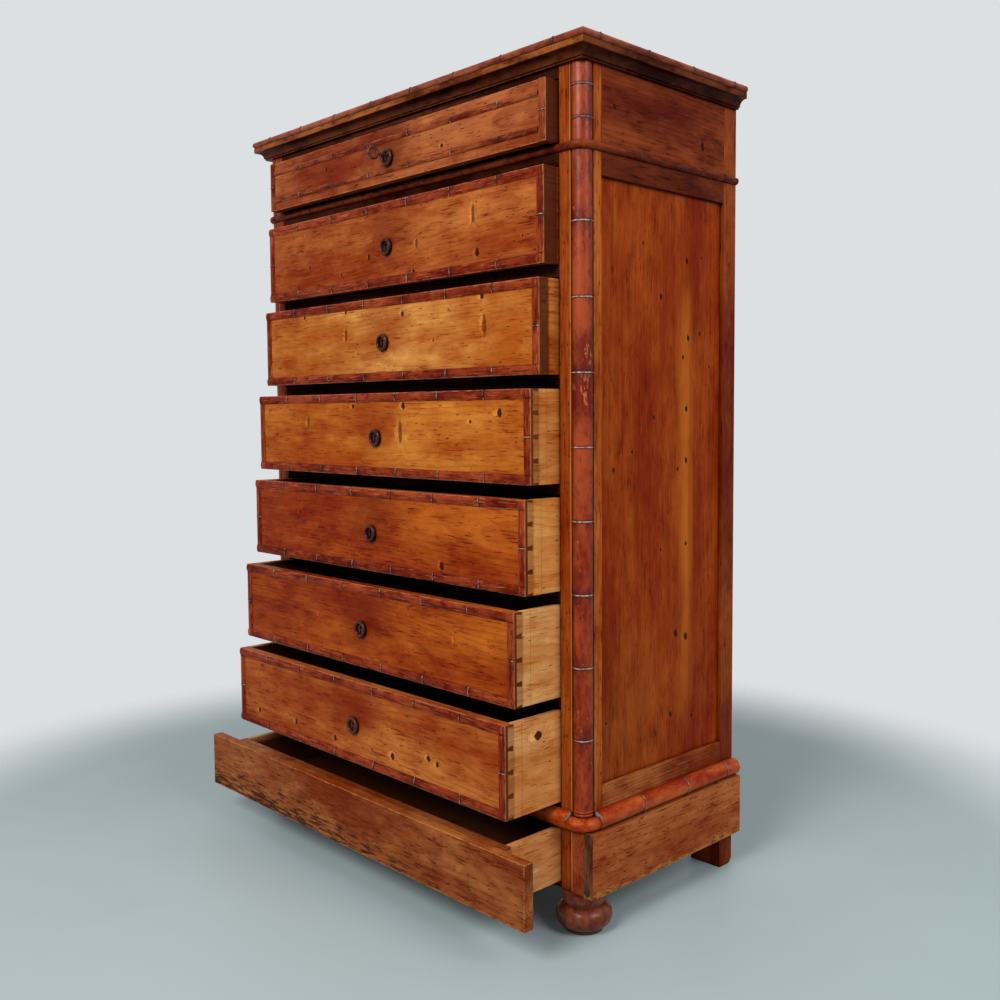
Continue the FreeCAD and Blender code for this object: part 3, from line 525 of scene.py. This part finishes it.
# Knots in each drawer front, in millimetres from its middle: right, up, radius, how tall.
DRAWER_KNOTS = {
    1: [(-210, 5, 3.5, 1.2), (160, -12, 3.5, 1.0)],
    2: [(-60, -20, 3.5, 1.8), (90, -10, 3.5, 2.4), (-270, -20, 2.5, 1.6), (-155, -45, 2.5, 1.4),
        (80, -60, 3.5, 1.2), (250, 25, 4, 4.0), (260, -45, 5, 1.5), (375, -30, 2, 1.0)],
    3: [(-275, 60, 3.5, 1.2), (-125, 60, 3.5, 1.0), (-125, 15, 4, 3.0), (60, 45, 4, 1.2),
        (285, 60, 4.5, 1.2), (290, 10, 5, 3.4), (150, -10, 2, 1.2)],
    4: [(-235, 25, 4, 2.4), (-75, 55, 4, 1.0), (85, 55, 5, 1.3), (75, 5, 6, 3.4),
        (350, 40, 6, 1.2), (275, 25, 3, 1.0)],
    5: [(210, -50, 5, 1.6), (-250, 20, 3, 1.2)],
    6: [(-145, 5, 3, 2.6), (275, 10, 3, 3.4)],
    7: [(-350, -45, 4, 1.4), (-205, -40, 4, 1.4), (-65, -45, 4, 1.4), (120, -40, 5, 1.3),
        (225, -20, 5, 1.1), (250, -25, 4, 1.2)],
    8: [],
}
# On this drawer the knots have kept their pale flares and lost their dark cores.
PALE_KNOTTED_DRAWER = 6
# The drawer with a knot in its side: back from the origin, up from the floor, radius, how tall.
SIDE_KNOTTED_DRAWER = 7
SIDE_KNOT = (-190 * MM, 350 * MM, 8 * MM, 1.0)
DRAWER_EDGE = 0.8 * MM

# How far back the varnish has run on the sides of the top drawers, and on the others.
VARNISH_REACH = {1: 40 * MM, 2: 26 * MM, 3: 17 * MM}
SCANT_VARNISH_REACH = 15 * MM
# The soft light reaches further into a drawer than the picture's, so its inside is darkened.
INSIDE_TINT = (0.13, 0.09, 0.08)
# Painted shade over the left end of the fronts of the lower locked drawers.
LEFT_END_SHADE_TINT = (0.9, 0.78, 0.6)


def shaded_back(y, back, colour):
    """The colour, darkened on the face that looks into the drawer."""
    return tinted(rise(y, back - 0.4 * MM, back - 0.1 * MM), colour, INSIDE_TINT)


def handled(number, high, middle):
    """The marks on a locked drawer's front: a smudge round its keyhole, dark dovetail ends, and painted
    shade over the left end of the lower fronts and on the inner face.
    """
    smudge_colour = linear(DRAWER_TONES[number], 1.9)
    end_colour = linear("#3c190a" if number in VARNISH_REACH else "#4a220c")

    def marks(place, colour):
        x, y, z = split(place)
        reach = join(x / (105 * MM), (z - middle.z - 22 * MM) / (80 * MM), 0.0)
        smudge = vector_maths("LENGTH", reach) + noise(place, (14.0, 14.0, 30.0), number, 3.0) * 1.1
        colour = colour_mix(rise(smudge, 1.1, 0.1) * 0.62, colour, smudge_colour)
        # Painted shade, deepening towards the left end of the front.
        if number > 2:
            colour = tinted(rise(x, 100 * MM, -400 * MM), colour, LEFT_END_SHADE_TINT)
        colour = shaded_back(y, high.y, colour)
        ends = rise(absolute(x), DRAWER_HALF - 0.5 * MM, DRAWER_HALF - 0.1 * MM)
        return colour_mix(ends * 0.85, colour, end_colour)

    return marks


def beaten(low, high, middle):
    """The marks on the plinth drawer's front: scraped all over, rotten low on the left, and a painted
    highlight along its top edge.
    """

    def marks(place, colour):
        x, y, z = split(place)
        colour = shaded_back(y, high.y, colour)
        # A painted highlight along the top edge.
        lit_top_edge = rise(z, high.z - 0.6 * MM, high.z - 0.2 * MM)
        colour = tinted(lit_top_edge, colour, (1.35, 1.5, 1.3))
        scraped = rise(noise(place, (12.0, 12.0, 120.0), 33, 4.0, 0.7), 0.14, 0.26)
        colour = colour_mix(scraped * 0.5, colour, linear("#a5673a"))
        low_left = rise(z, middle.z + 25 * MM, low.z) * rise(x, 900 * MM, -350 * MM)
        torn = noise(place, (24.0, 24.0, 210.0), 31, 4.0, 0.7)
        rotten = rise(torn + low_left * 0.2, 0.12, 0.22)
        return colour_mix(rotten * 0.85, colour, linear("#250e08"))

    return marks


def drawer_front_material(number):
    """A drawer front's own board, with the knots and marks that it has in the picture."""
    name = "drawer_%d_front" % number
    low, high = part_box(name)
    middle = (low + high) / 2
    plinth = number == PLINTH_DRAWER
    knots = [(middle.x + right * MM, middle.z + up * MM, radius * MM, tall)
             for right, up, radius, tall in DRAWER_KNOTS[number]]
    heart = (middle.z + (number % 3 - 1) * 0.03, middle.y + 0.07)
    return pine("pine_" + name, DRAWER_TONES[number], along_x, 11 * number, heart=heart,
                spacing=6.0 * MM, slope=0.03 * (-1) ** number, knots=knots, stain=0.6,
                pits=0.3 if plinth else 0.12, worn=(low, high), rough=0.5 if plinth else 0.4,
                cores=0.15 if number == PALE_KNOTTED_DRAWER else 0.95,
                extra=beaten(low, high, middle) if plinth else handled(number, high, middle))


def ring_distance(coordinate, first):
    """The distance from the nearest ring, for rings a pitch apart from the first one on."""
    half = RING_PITCH / 2
    return maths("PINGPONG", (coordinate - first) / half, 1.0) * half


def banding_material(number):
    """The red bamboo border of a drawer front, scratched, chipped at its edges, with pale ridges."""
    name = "drawer_%d_banding" % number
    low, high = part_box(name)
    middle = (low.z + high.z) / 2
    half_height = (high.z - low.z) / 2
    inner = DRAWER_HALF - BAND_WIDTH

    def grain(x, y, z):
        upright = rise(absolute(x), inner - 0.1 * MM, inner + 0.1 * MM)
        return choose(upright, x, z), choose(upright, z, x), y

    def ring_gap(x, y, z):
        beside_end = rise(absolute(x), inner, inner - 1 * MM)
        return lesser(ring_distance(absolute(x), RING_PITCH / 2), absolute(z - middle) + beside_end)

    def rubbed(place, colour):
        x, y, z = split(place)
        rim = lesser(high.x - absolute(x), half_height - absolute(z - middle))
        rim = rim + noise(place, (70.0, 70.0, 70.0), number + 80, 3.0) * (5 * MM)
        colour = colour_mix(rise(rim, 1.5 * MM, 0.3 * MM) * 0.5, colour, linear("#b87752"))
        scratch = noise(join(*grain(x, y, z)), (22.0, 420.0, 420.0), number + 90, 2.0)
        colour = colour_mix(rise(scratch, 0.05, 0.14) * 0.75, colour, linear("#360e08"))
        return colour_mix(rise(scratch, -0.13, -0.22) * 0.5, colour, linear("#bd7a5c"))

    tone = "#7e3415" if number == 1 else "#822b0f"
    return turned("band_%d" % number, tone, grain, 17 * number, ring_gap, rough=0.4, coat=0.0,
                  scuffs=0.2, crests=0.75, crest_width=1.1 * MM, nicks=0.8, shine=0.04, smears=0.6,
                  extra=rubbed)


def drawer_box_grain(x, y, z):
    """The sides' grain runs back, and the back's and bottom's runs across."""
    inner = DRAWER_HALF - DRAWER_SIDE
    side = rise(absolute(x), inner - 0.1 * MM, inner + 0.1 * MM)
    return choose(side, x, y), choose(side, y, z), choose(side, z, x)


def drawer_box_material(number):
    """Bare pine sides, stained where the front's dovetails are and scored by the gauge, with painted shade
    inside the box.
    """
    name = "drawer_%d_box" % number
    low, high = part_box(name)
    inner = DRAWER_HALF - DRAWER_SIDE
    varnished_to = low.y + VARNISH_REACH.get(number, SCANT_VARNISH_REACH)
    varnish_strength = 0.85 if number in VARNISH_REACH else 0.4
    clean_rim = 16 * MM if number == PLINTH_DRAWER else 3 * MM

    def workshop(place, colour):
        x, y, z = split(place)
        outside = rise(absolute(x), inner, DRAWER_HALF - 0.5 * MM)
        within = rise(absolute(x), inner + 0.3 * MM, inner + 0.1 * MM)
        # Painted shade on the box's inner faces, below a clean rim at the top.
        colour = tinted(within * rise(z, high.z, high.z - clean_rim), colour, INSIDE_TINT)
        drip = noise(place, (20.0, 14.0, 40.0), number + 60, 2.0) * (5 * MM)
        varnish = rise(y + drip, varnished_to + 2 * MM, varnished_to - 2 * MM) * outside
        colour = colour_mix(varnish * varnish_strength, colour, linear("#451a0b"))
        scored = rise(absolute(y - (low.y + 32 * MM)), 0.9 * MM, 0.4 * MM) * outside
        return colour_mix(scored * 0.4, colour, linear("#5a2a14"))

    knots = [SIDE_KNOT] if number == SIDE_KNOTTED_DRAWER else ()
    return pine("pine_" + name, DRAWER_BOX_TONES[number], drawer_box_grain, 13 * number + 5,
                heart=(low.z + 0.06, 0.3), spacing=5.5 * MM, knots=knots, stain=0.45, pits=0.05,
                rough=0.6, contrast=0.45, extra=workshop)


def dress_drawers():
    """Give the pieces of each drawer their materials, and the key its own."""
    iron = metal("old_iron", "#4b4440", "#3a2418", 1, 0.35)
    for number in DRAWERS:
        dress("drawer_%d_front" % number, drawer_front_material(number))
        dress("drawer_%d_box" % number, drawer_box_material(number))
        ease_edges("drawer_%d_front" % number, DRAWER_EDGE)
    for number in LOCKED_DRAWERS:
        dress("drawer_%d_banding" % number, banding_material(number))
        ring = turned("escutcheon_%d" % number, "#3c180b", along_z, 40 + number, rough=0.24, coat=0.1,
                      scuffs=0.1)
        dress("drawer_%d_escutcheon" % number, ring)
        dress("drawer_%d_lock" % number, iron)
        dress("drawer_%d_bolt" % number, iron)
    dress("key", metal("key_steel", "#6e5548", "#41291e", 2, 0.3))


# ---------------------------------------------------------------- the case's boards

# Knots in the right-hand side panel, in millimetres: up from the floor, back from the origin, radius.
PANEL_KNOTS = [
    (1190, 30, 3), (1170, 155, 5), (1180, 200, 3), (1100, 80, 5), (1030, 160, 5), (1040, 195, 4),
    (995, 145, 4), (980, 225, 3), (900, 155, 5), (885, 60, 4), (825, 0, 3), (805, 155, 5),
    (795, -50, 4), (790, 130, 4), (650, 155, 4), (645, 80, 3), (485, 125, 7), (475, 155, 7),
    (335, 110, 5), (320, 175, 4), (355, -70, 3),
]
# Knots in the frieze board: back from the origin, up from the floor, radius, how tall.
FRIEZE_KNOTS = [(-55 * MM, 1405 * MM, 4 * MM, 1.2), (190 * MM, 1380 * MM, 6 * MM, 1.4)]
# The plinth boards and the back boards aren't here: each holds solids that touch.
EASED_NODES = ("top_board", "front_posts", "rear_posts", "side_rails", "front_rails", "side_panels")
BOARD_EDGE = 1.0 * MM


def at_front(y):
    """1 on the plane of the case's front, 0 behind it."""
    return rise(y, FRONT_PLANE + 0.6 * MM, FRONT_PLANE + 0.2 * MM)


def sapwood(place, colour):
    """A side panel's two boards: a golden streak beside their joint, a seam and a greyer foot."""
    x, y, z = split(place)
    frayed = noise(place, (1.0, 60.0, 1.6), 77, 3.0) * (26 * MM)
    width = 34 * MM + noise(place, (1.0, 1.0, 3.0), 78, 1.0) * (40 * MM)
    before_joint = PANEL_JOINT - 8 * MM - y + frayed
    golden = rise(before_joint / width, 1.1, 0.1) * rise(before_joint, -22 * MM, -4 * MM)
    golden = golden * rise(z, 250 * MM, 500 * MM) * rise(z, 1250 * MM, 950 * MM)
    golden = golden * rise(cloud_of(place, 79), -0.35, 0.1)
    colour = colour_mix(golden * 0.8, colour, linear("#b8641a"))
    rear_board = rise(y, PANEL_JOINT - 10 * MM, PANEL_JOINT + 10 * MM)
    colour = tinted(rear_board, colour, (0.92, 0.84, 0.8))
    foot = rise(z, 650 * MM, 350 * MM) * rise(y, 150 * MM, -50 * MM)
    colour = tinted(foot, colour, (0.84, 0.9, 1.1))
    seam = rise(absolute(y - PANEL_JOINT), 1.0 * MM, 0.4 * MM)
    return colour_mix(seam * 0.3, colour, linear("#3a1206"))


def post_faces(place, colour):
    """A front post: a dark front, darker at the plinth, a pale worn arris, and painted shade in its rebate.
    """
    x, y, z = split(place)
    front = at_front(y)
    colour = tinted(front, colour, (0.66, 0.5, 0.5))
    colour = tinted(rise(z, PLINTH_TOP + 2 * MM, PLINTH_TOP), colour, (0.85, 0.8, 0.9))
    arris_x = CASE_HALF - REBATE
    uneven = noise(place, (60.0, 60.0, 9.0), 61, 3.0) * (4 * MM)
    arris = rise(absolute(absolute(x) - arris_x) + uneven, 2.6 * MM, 1.2 * MM) * front
    colour = colour_mix(arris * 0.7, colour, linear("#b8763c"))
    # Painted shade on the faces of the rebate, in the gap beside the column.
    rebate_y = FRONT_PLANE + REBATE
    shaded_rebate = rise(absolute(x), arris_x - 0.4 * MM, arris_x - 0.1 * MM)
    shaded_rebate = shaded_rebate * rise(y, rebate_y + 0.4 * MM, rebate_y + 0.1 * MM)
    return colour_mix(shaded_rebate * (1 - front) * 0.9, colour, linear(TURNED_SHADE_AND_GRIME))


def rail_stains(place, colour):
    """The side rails: the bottom one pale, the top one darker than the frieze above it."""
    x, y, z = split(place)
    bottom_rail = rise(z, BOTTOM_RAIL_TOP + 1 * MM, BOTTOM_RAIL_TOP)
    colour = tinted(bottom_rail, colour, (1.95, 3.3, 4.0))
    top_rail = rise(z, TOP_RAIL_BOTTOM - 1 * MM, TOP_RAIL_BOTTOM)
    top_rail = top_rail * rise(z, FRIEZE_BOTTOM + 1 * MM, FRIEZE_BOTTOM)
    return tinted(top_rail, colour, (0.68, 0.62, 0.6))


def battered(place, colour):
    """The plinth boards: grey end grain, a broken lower edge and slanting cracks."""
    x, y, z = split(place)
    board = rise(absolute(x), CASE_HALF, CASE_HALF + 0.2 * MM)
    corner_block = 1 - board
    colour = tinted(corner_block, colour, (0.66, 0.55, 0.6))
    stripes = rise(noise(place, (260.0, 10.0, 40.0), 94, 3.0), -0.2, 0.2)
    weathered = colour_mix(stripes, linear("#20130c"), linear("#5e422d"))
    colour = colour_mix(board * at_front(y) * 0.9, colour, weathered)
    torn = noise(place, (60.0, 22.0, 90.0), 91, 4.0, 0.7) * (70 * MM)
    low_edge = rise(z + torn, PLINTH_BOTTOM + 9 * MM, PLINTH_BOTTOM + 4 * MM) * board
    colour = colour_mix(low_edge * 0.7, colour, linear("#ad7239"))
    slanting = vector_maths("ADD", place, join(0.0, z * 0.4, y * 0.12))
    gouges = noise(slanting, (60.0, 50.0, 170.0), 92, 3.0, 0.65) + cloud_of(place, 93) * 0.4
    cracks = rise(gouges + low_edge * 0.12, 0.15, 0.23)
    return colour_mix(cracks * board * 0.75, colour, linear("#3f190c"))


def separate_boards(place, colour):
    """The back: four boards, each of its own shade, with dark seams between them."""
    x, y, z = split(place)
    low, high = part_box("back_boards")
    board_width = (high.x - low.x) / BACK_BOARDS
    colour = tinted(rise(x, -0.1 * MM, 0.1 * MM), colour, (0.86, 0.8, 0.76))
    inner_boards = rise(absolute(x), board_width + 0.1 * MM, board_width - 0.1 * MM)
    colour = tinted(inner_boards, colour, (1.14, 1.2, 1.2))
    seam_gap = lesser(absolute(x), absolute(absolute(x) - board_width))
    seam = rise(seam_gap, 1.6 * MM, 0.7 * MM)
    return colour_mix(seam * 0.85, colour, linear("#1c0f08"))


def dress_boards():
    """Give the case's boards their materials, and ease the edges of most of them."""
    dress("top_board", pine("top_board_pine", "#8c4420", along_x, 3, worn=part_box("top_board"), pits=0.15))
    panel_knots = [(up * MM, back * MM, radius * MM, 0.8) for up, back, radius in PANEL_KNOTS]
    dress("side_panels", pine("side_panel_pine", "#8f3507", along_z, 21, heart=(0.05, 0.3), spacing=9 * MM,
                              slope=0.006, knots=panel_knots, aside=(0.0, 0.8), stain=0.36, pits=0.1,
                              contrast=0.25, streaks=0.6, dashes=0.5, halos=0.3, extra=sapwood))
    dress("front_posts", pine("front_post_pine", "#9e460e", along_z, 5, heart=(0.1, 0.7), stain=0.6,
                              pits=0.3, streaks=0.8, shade_and_grime=0.6, extra=post_faces))
    dress("rear_posts", pine("rear_post_pine", "#782a07", along_z, 6, heart=(0.1, 0.7), pits=0.12))
    dress("side_rails", pine("side_rail_pine", "#6e260a", along_y, 7, heart=(1.3, 0.6), knots=FRIEZE_KNOTS,
                             aside=(0.9, 0.3), halos=0.3, extra=rail_stains))
    # Painted shade: the front rails are coloured near black, as the deep shade between the drawers.
    dress("front_rails", pine("front_rail_painted_shade", "#331308", along_x, 8, rough=0.7, shine=0.0))
    dress("plinth_boards", pine("plinth_pine", "#9c4c20", along_y, 9, heart=(0.1, 0.6), pits=0.3,
                                dashes=0.9, rough=0.5, shade_and_grime=0.35, extra=battered))
    dress("back_boards", pine("back_board_pine", "#9c6236", along_z, 10, heart=(0.0, 0.35), stain=0.4,
                              rough=0.7, extra=separate_boards))
    dress("drawer_runners", pine("runner_pine", "#5a3018", along_y, 12, rough=0.7, shine=0.0))
    for node in EASED_NODES:
        ease_edges(node, BOARD_EDGE)


# ---------------------------------------------------------------- columns, mouldings and feet

# How much narrower the pale mark at an elbow's end is than a ring's crest.
ELBOW_NARROWING = 2.4
# Anything this far from a ring has no mark of it.
OUT_OF_REACH = 1.0


def is_beside(x, y):
    """1 on a moulding's runs along the sides, 0 on its front run: they meet in a mitre."""
    return rise(absolute(x) - CASE_HALF - (FRONT_PLANE - y), -0.2 * MM, 0.2 * MM)


def side_grain(x, y, z):
    """Mouldings that run along the front, then back along the sides."""
    beside = is_beside(x, y)
    return choose(beside, x, y), z, choose(beside, y, x)


def bead_gap(x, y, z):
    """The distance from the nearest ring of a moulding that goes round the case."""
    front_gap = ring_distance(absolute(x), RING_PITCH / 2)
    side_gap = ring_distance(y, FRONT_PLANE + COLUMN_INSET)
    return choose(is_beside(x, y), front_gap, side_gap)


def moulding_gap(x, y, z):
    """The same with an elbow round each column, which has no ring of its own, only worn ends.

    The ends of the base moulding's elbows are worn on their upper half alone.
    """
    elbow_front = CASE_HALF - REBATE
    elbow_back = FRONT_PLANE + REBATE
    beside = is_beside(x, y)
    on_elbow = rise(y, elbow_back, elbow_back - 1 * MM)
    on_elbow = on_elbow * rise(absolute(x), elbow_front, elbow_front + 1 * MM)
    near_elbow = rise(absolute(x), elbow_front - 30 * MM, elbow_front - 29 * MM) * (1 - beside)
    ring_gap = bead_gap(x, y, z) + (on_elbow + near_elbow) * OUT_OF_REACH
    end_gap = choose(beside, absolute(absolute(x) - elbow_front), absolute(y - elbow_back))
    lower_half = rise(z, RINGS_FROM - 12 * MM, RINGS_FROM - 18 * MM)
    return lesser(ring_gap, end_gap * ELBOW_NARROWING + lower_half * OUT_OF_REACH)


def column_gap(x, y, z):
    """The distance from the nearest of a column's rings."""
    heights = [RINGS_FROM + count * RING_PITCH for count in range(1, LOWER_COLUMN_RINGS + 1)]
    heights += [UPPER_COLUMN_MIDDLE + side * UPPER_RING_PITCH / 2 for side in (-1, 1)]
    gap = absolute(z - heights[0])
    for height in heights[1:]:
        gap = lesser(gap, absolute(z - height))
    return gap


def shaded_column_sides(place, colour):
    """Painted shade, mottled, where a column turns in towards its post, and duller rings on its upper part.
    """
    x, y, z = split(place)
    # Painted shade on the side of the column that turns in towards its post.
    across = absolute(x) - (CASE_HALF - COLUMN_INSET) + y - (FRONT_PLANE + COLUMN_INSET)
    side_shade = rise(absolute(across), 19 * MM, 26 * MM)
    side_shade = side_shade + noise(place, (80.0, 80.0, 14.0), 62, 3.0) * side_shade
    colour = colour_mix(side_shade * 0.75, colour, linear("#230b09"))
    upper_foot = UPPER_COLUMN_MIDDLE - UPPER_RING_PITCH
    lowest_upper_ring = UPPER_COLUMN_MIDDLE - UPPER_RING_PITCH / 2
    upper_part = rise(z, upper_foot, lowest_upper_ring - 9 * MM)
    ring = rise(column_gap(x, y, z), 2.6 * MM, 1.6 * MM)
    return colour_mix(ring * upper_part * 0.65, colour, linear("#54261a"))


def fillet(place, colour):
    """A painted highlight on the cornice's upper fillet, strongest at the front."""
    x, y, z = split(place)
    upper = rise(z, CORNICE_FILLET - 0.5 * MM, CORNICE_FILLET + 0.5 * MM)
    front = 1 - is_beside(x, y)
    # Painted highlight: the fillet is lighter, and lighter still at the front.
    colour = tinted(upper, colour, (1.5, 1.6, 1.5))
    return tinted(upper * front, colour, (1.8, 2.2, 1.7))


def dusty_base(place, colour):
    """Floor dust round the foot of a bun."""
    x, y, z = split(place)
    dust = rise(z + cloud_of(place, 63) * (8 * MM), 12 * MM, 6 * MM)
    return colour_mix(dust * 0.6, colour, linear("#53443a"))


def dress_turned_work():
    """Give the columns, the mouldings, the cornice and the feet their materials."""
    dress("corner_columns", turned("column_red", "#842b0d", along_z, 1, column_gap, scuffs=0.7,
                                   smears=0.6, shine=0.14, extra=shaded_column_sides))
    dress("string_moulding", turned("string_red", "#6c240a", side_grain, 2, moulding_gap, crests=0.1,
                                    scuffs=0.2, coat=0.0, shine=0.05))
    dress("base_moulding", turned("base_red", "#a43f10", side_grain, 4, moulding_gap, scuffs=0.3,
                                  crests=0.6, crest_width=1.6 * MM))
    dress("top_bead", turned("bead_red", "#853d22", side_grain, 5, bead_gap, crests=0.15, scuffs=0.2,
                             crest_width=1.2 * MM))
    dress("cornice", turned("cornice_red", "#471a08", side_grain, 6, shine=0.03, coat=0.0, scuffs=0.0,
                            extra=fillet))
    dress("bun_feet", turned("bun_red", "#703019", along_z, 7, rough=0.3, coat=0.2, scuffs=0.15,
                             nicks=0.3, extra=dusty_base))


# ---------------------------------------------------------------- floor, light and camera

FLOOR_COLOUR = "#a6b6b9"
FLOOR_RADIUS = 6.0
# The floor fades into the background between these distances from the origin.
FADE_FROM = 1.05
FADE_TO = 1.6
WALL_COLOUR = "#dde0e2"
ROOM_COLOUR = (0.95, 0.97, 1.0, 1.0)
ROOM_LIGHT = 0.32
LIGHTS_AIM = (0, 0, 0.6)
LIGHTS_SIZE = 2.0

CAMERA_PLACE = Vector((1.6791, -1.4399, 0.8914))
CAMERA_YAW = math.radians(45.555)
CAMERA_PITCH = math.radians(-3.752)
CAMERA_ROLL = math.radians(-0.322)
SENSOR_WIDTH = 36
# In pixels of the picture: the focal length, the point the lens looks at, the picture's width.
FOCAL_PIXELS = 1066.9
PICTURE_MIDDLE = (528.0, 484.4)
PICTURE_SIZE = 1000


def make_floor():
    """A wide pale floor that fades into the background."""
    mesh = bpy.data.meshes.new("floor")
    builder = bmesh.new()
    bmesh.ops.create_circle(builder, cap_ends=True, segments=96, radius=FLOOR_RADIUS)
    builder.to_mesh(mesh)
    builder.free()
    floor = bpy.data.objects.new("floor", mesh)
    bpy.context.scene.collection.objects.link(floor)
    material, tree, shader, place = new_material("floor_paint")
    scuff = noise(place, (2.0, 2.0, 2.0), 3, 4.0, 0.6)
    worn = rise(scuff, -0.2, 0.25) * 0.2
    colour = colour_mix(worn, linear(FLOOR_COLOUR), linear(FLOOR_COLOUR, 1.4))
    finish_surface(tree, shader, colour, scuff * 0.1 + 0.5, scuff, 0.3 * MM, shine=0.4)
    clear = tree.nodes.new("ShaderNodeBsdfTransparent")
    fade = rise(vector_maths("LENGTH", place), FADE_FROM, FADE_TO)
    mix_shaders(tree, fade, shader, clear, tree.nodes["Material Output"].inputs["Surface"])
    mesh.materials.append(material)


def area_light(name, place, power, colour):
    """A round soft light that faces the chest."""
    data = bpy.data.lights.new(name, "AREA")
    data.shape = "DISK"
    data.size = LIGHTS_SIZE
    data.energy = power
    data.color = colour
    light = bpy.data.objects.new(name, data)
    light.location = place
    light.rotation_euler = (Vector(LIGHTS_AIM) - Vector(place)).to_track_quat("-Z", "Y").to_euler()
    bpy.context.scene.collection.objects.link(light)


def make_light():
    """Two soft lights in a dim room, whose wall only the camera and reflections see."""
    area_light("key_light", place=(0.8, -3.2, 2.8), power=140, colour=(1.0, 0.98, 0.95))
    area_light("side_light", place=(3.4, 0.2, 2.6), power=68, colour=(0.97, 0.99, 1.0))
    world = bpy.data.worlds.new("studio")
    bpy.context.scene.world = world
    world.use_nodes = True
    tree = world.node_tree
    room = tree.nodes["Background"]
    room.inputs["Color"].default_value = ROOM_COLOUR
    room.inputs["Strength"].default_value = ROOM_LIGHT
    wall = tree.nodes.new("ShaderNodeBackground")
    wall.inputs["Color"].default_value = linear(WALL_COLOUR)
    path = tree.nodes.new("ShaderNodeLightPath")
    seen = Field(tree, path.outputs["Is Camera Ray"])
    mirrored = greater(Field(tree, path.outputs["Is Glossy Ray"]),
                       Field(tree, path.outputs["Is Transmission Ray"]))
    mix_shaders(tree, greater(seen, mirrored), room, wall, tree.nodes["World Output"].inputs["Surface"])


def make_camera():
    """A camera that stands where the picture was taken from."""
    data = bpy.data.cameras.new("camera")
    data.sensor_width = SENSOR_WIDTH
    data.lens = FOCAL_PIXELS * SENSOR_WIDTH / PICTURE_SIZE
    data.shift_x = (PICTURE_SIZE / 2 - PICTURE_MIDDLE[0]) / PICTURE_SIZE
    data.shift_y = (PICTURE_MIDDLE[1] - PICTURE_SIZE / 2) / PICTURE_SIZE
    data.clip_start = 0.05
    camera = bpy.data.objects.new("camera", data)
    forward = Vector((-math.sin(CAMERA_YAW) * math.cos(CAMERA_PITCH),
                      math.cos(CAMERA_YAW) * math.cos(CAMERA_PITCH), math.sin(CAMERA_PITCH)))
    level = Vector((math.cos(CAMERA_YAW), math.sin(CAMERA_YAW), 0))
    plumb = level.cross(forward)
    right = level * math.cos(CAMERA_ROLL) + plumb * math.sin(CAMERA_ROLL)
    up = plumb * math.cos(CAMERA_ROLL) - level * math.sin(CAMERA_ROLL)
    turn = Matrix((right, up, -forward)).transposed().to_4x4()
    camera.matrix_world = Matrix.Translation(CAMERA_PLACE) @ turn
    bpy.context.scene.collection.objects.link(camera)
    bpy.context.scene.camera = camera


dress_boards()
dress_turned_work()
dress_drawers()
make_floor()
make_light()
make_camera()
bpy.context.scene.view_settings.view_transform = "Standard"
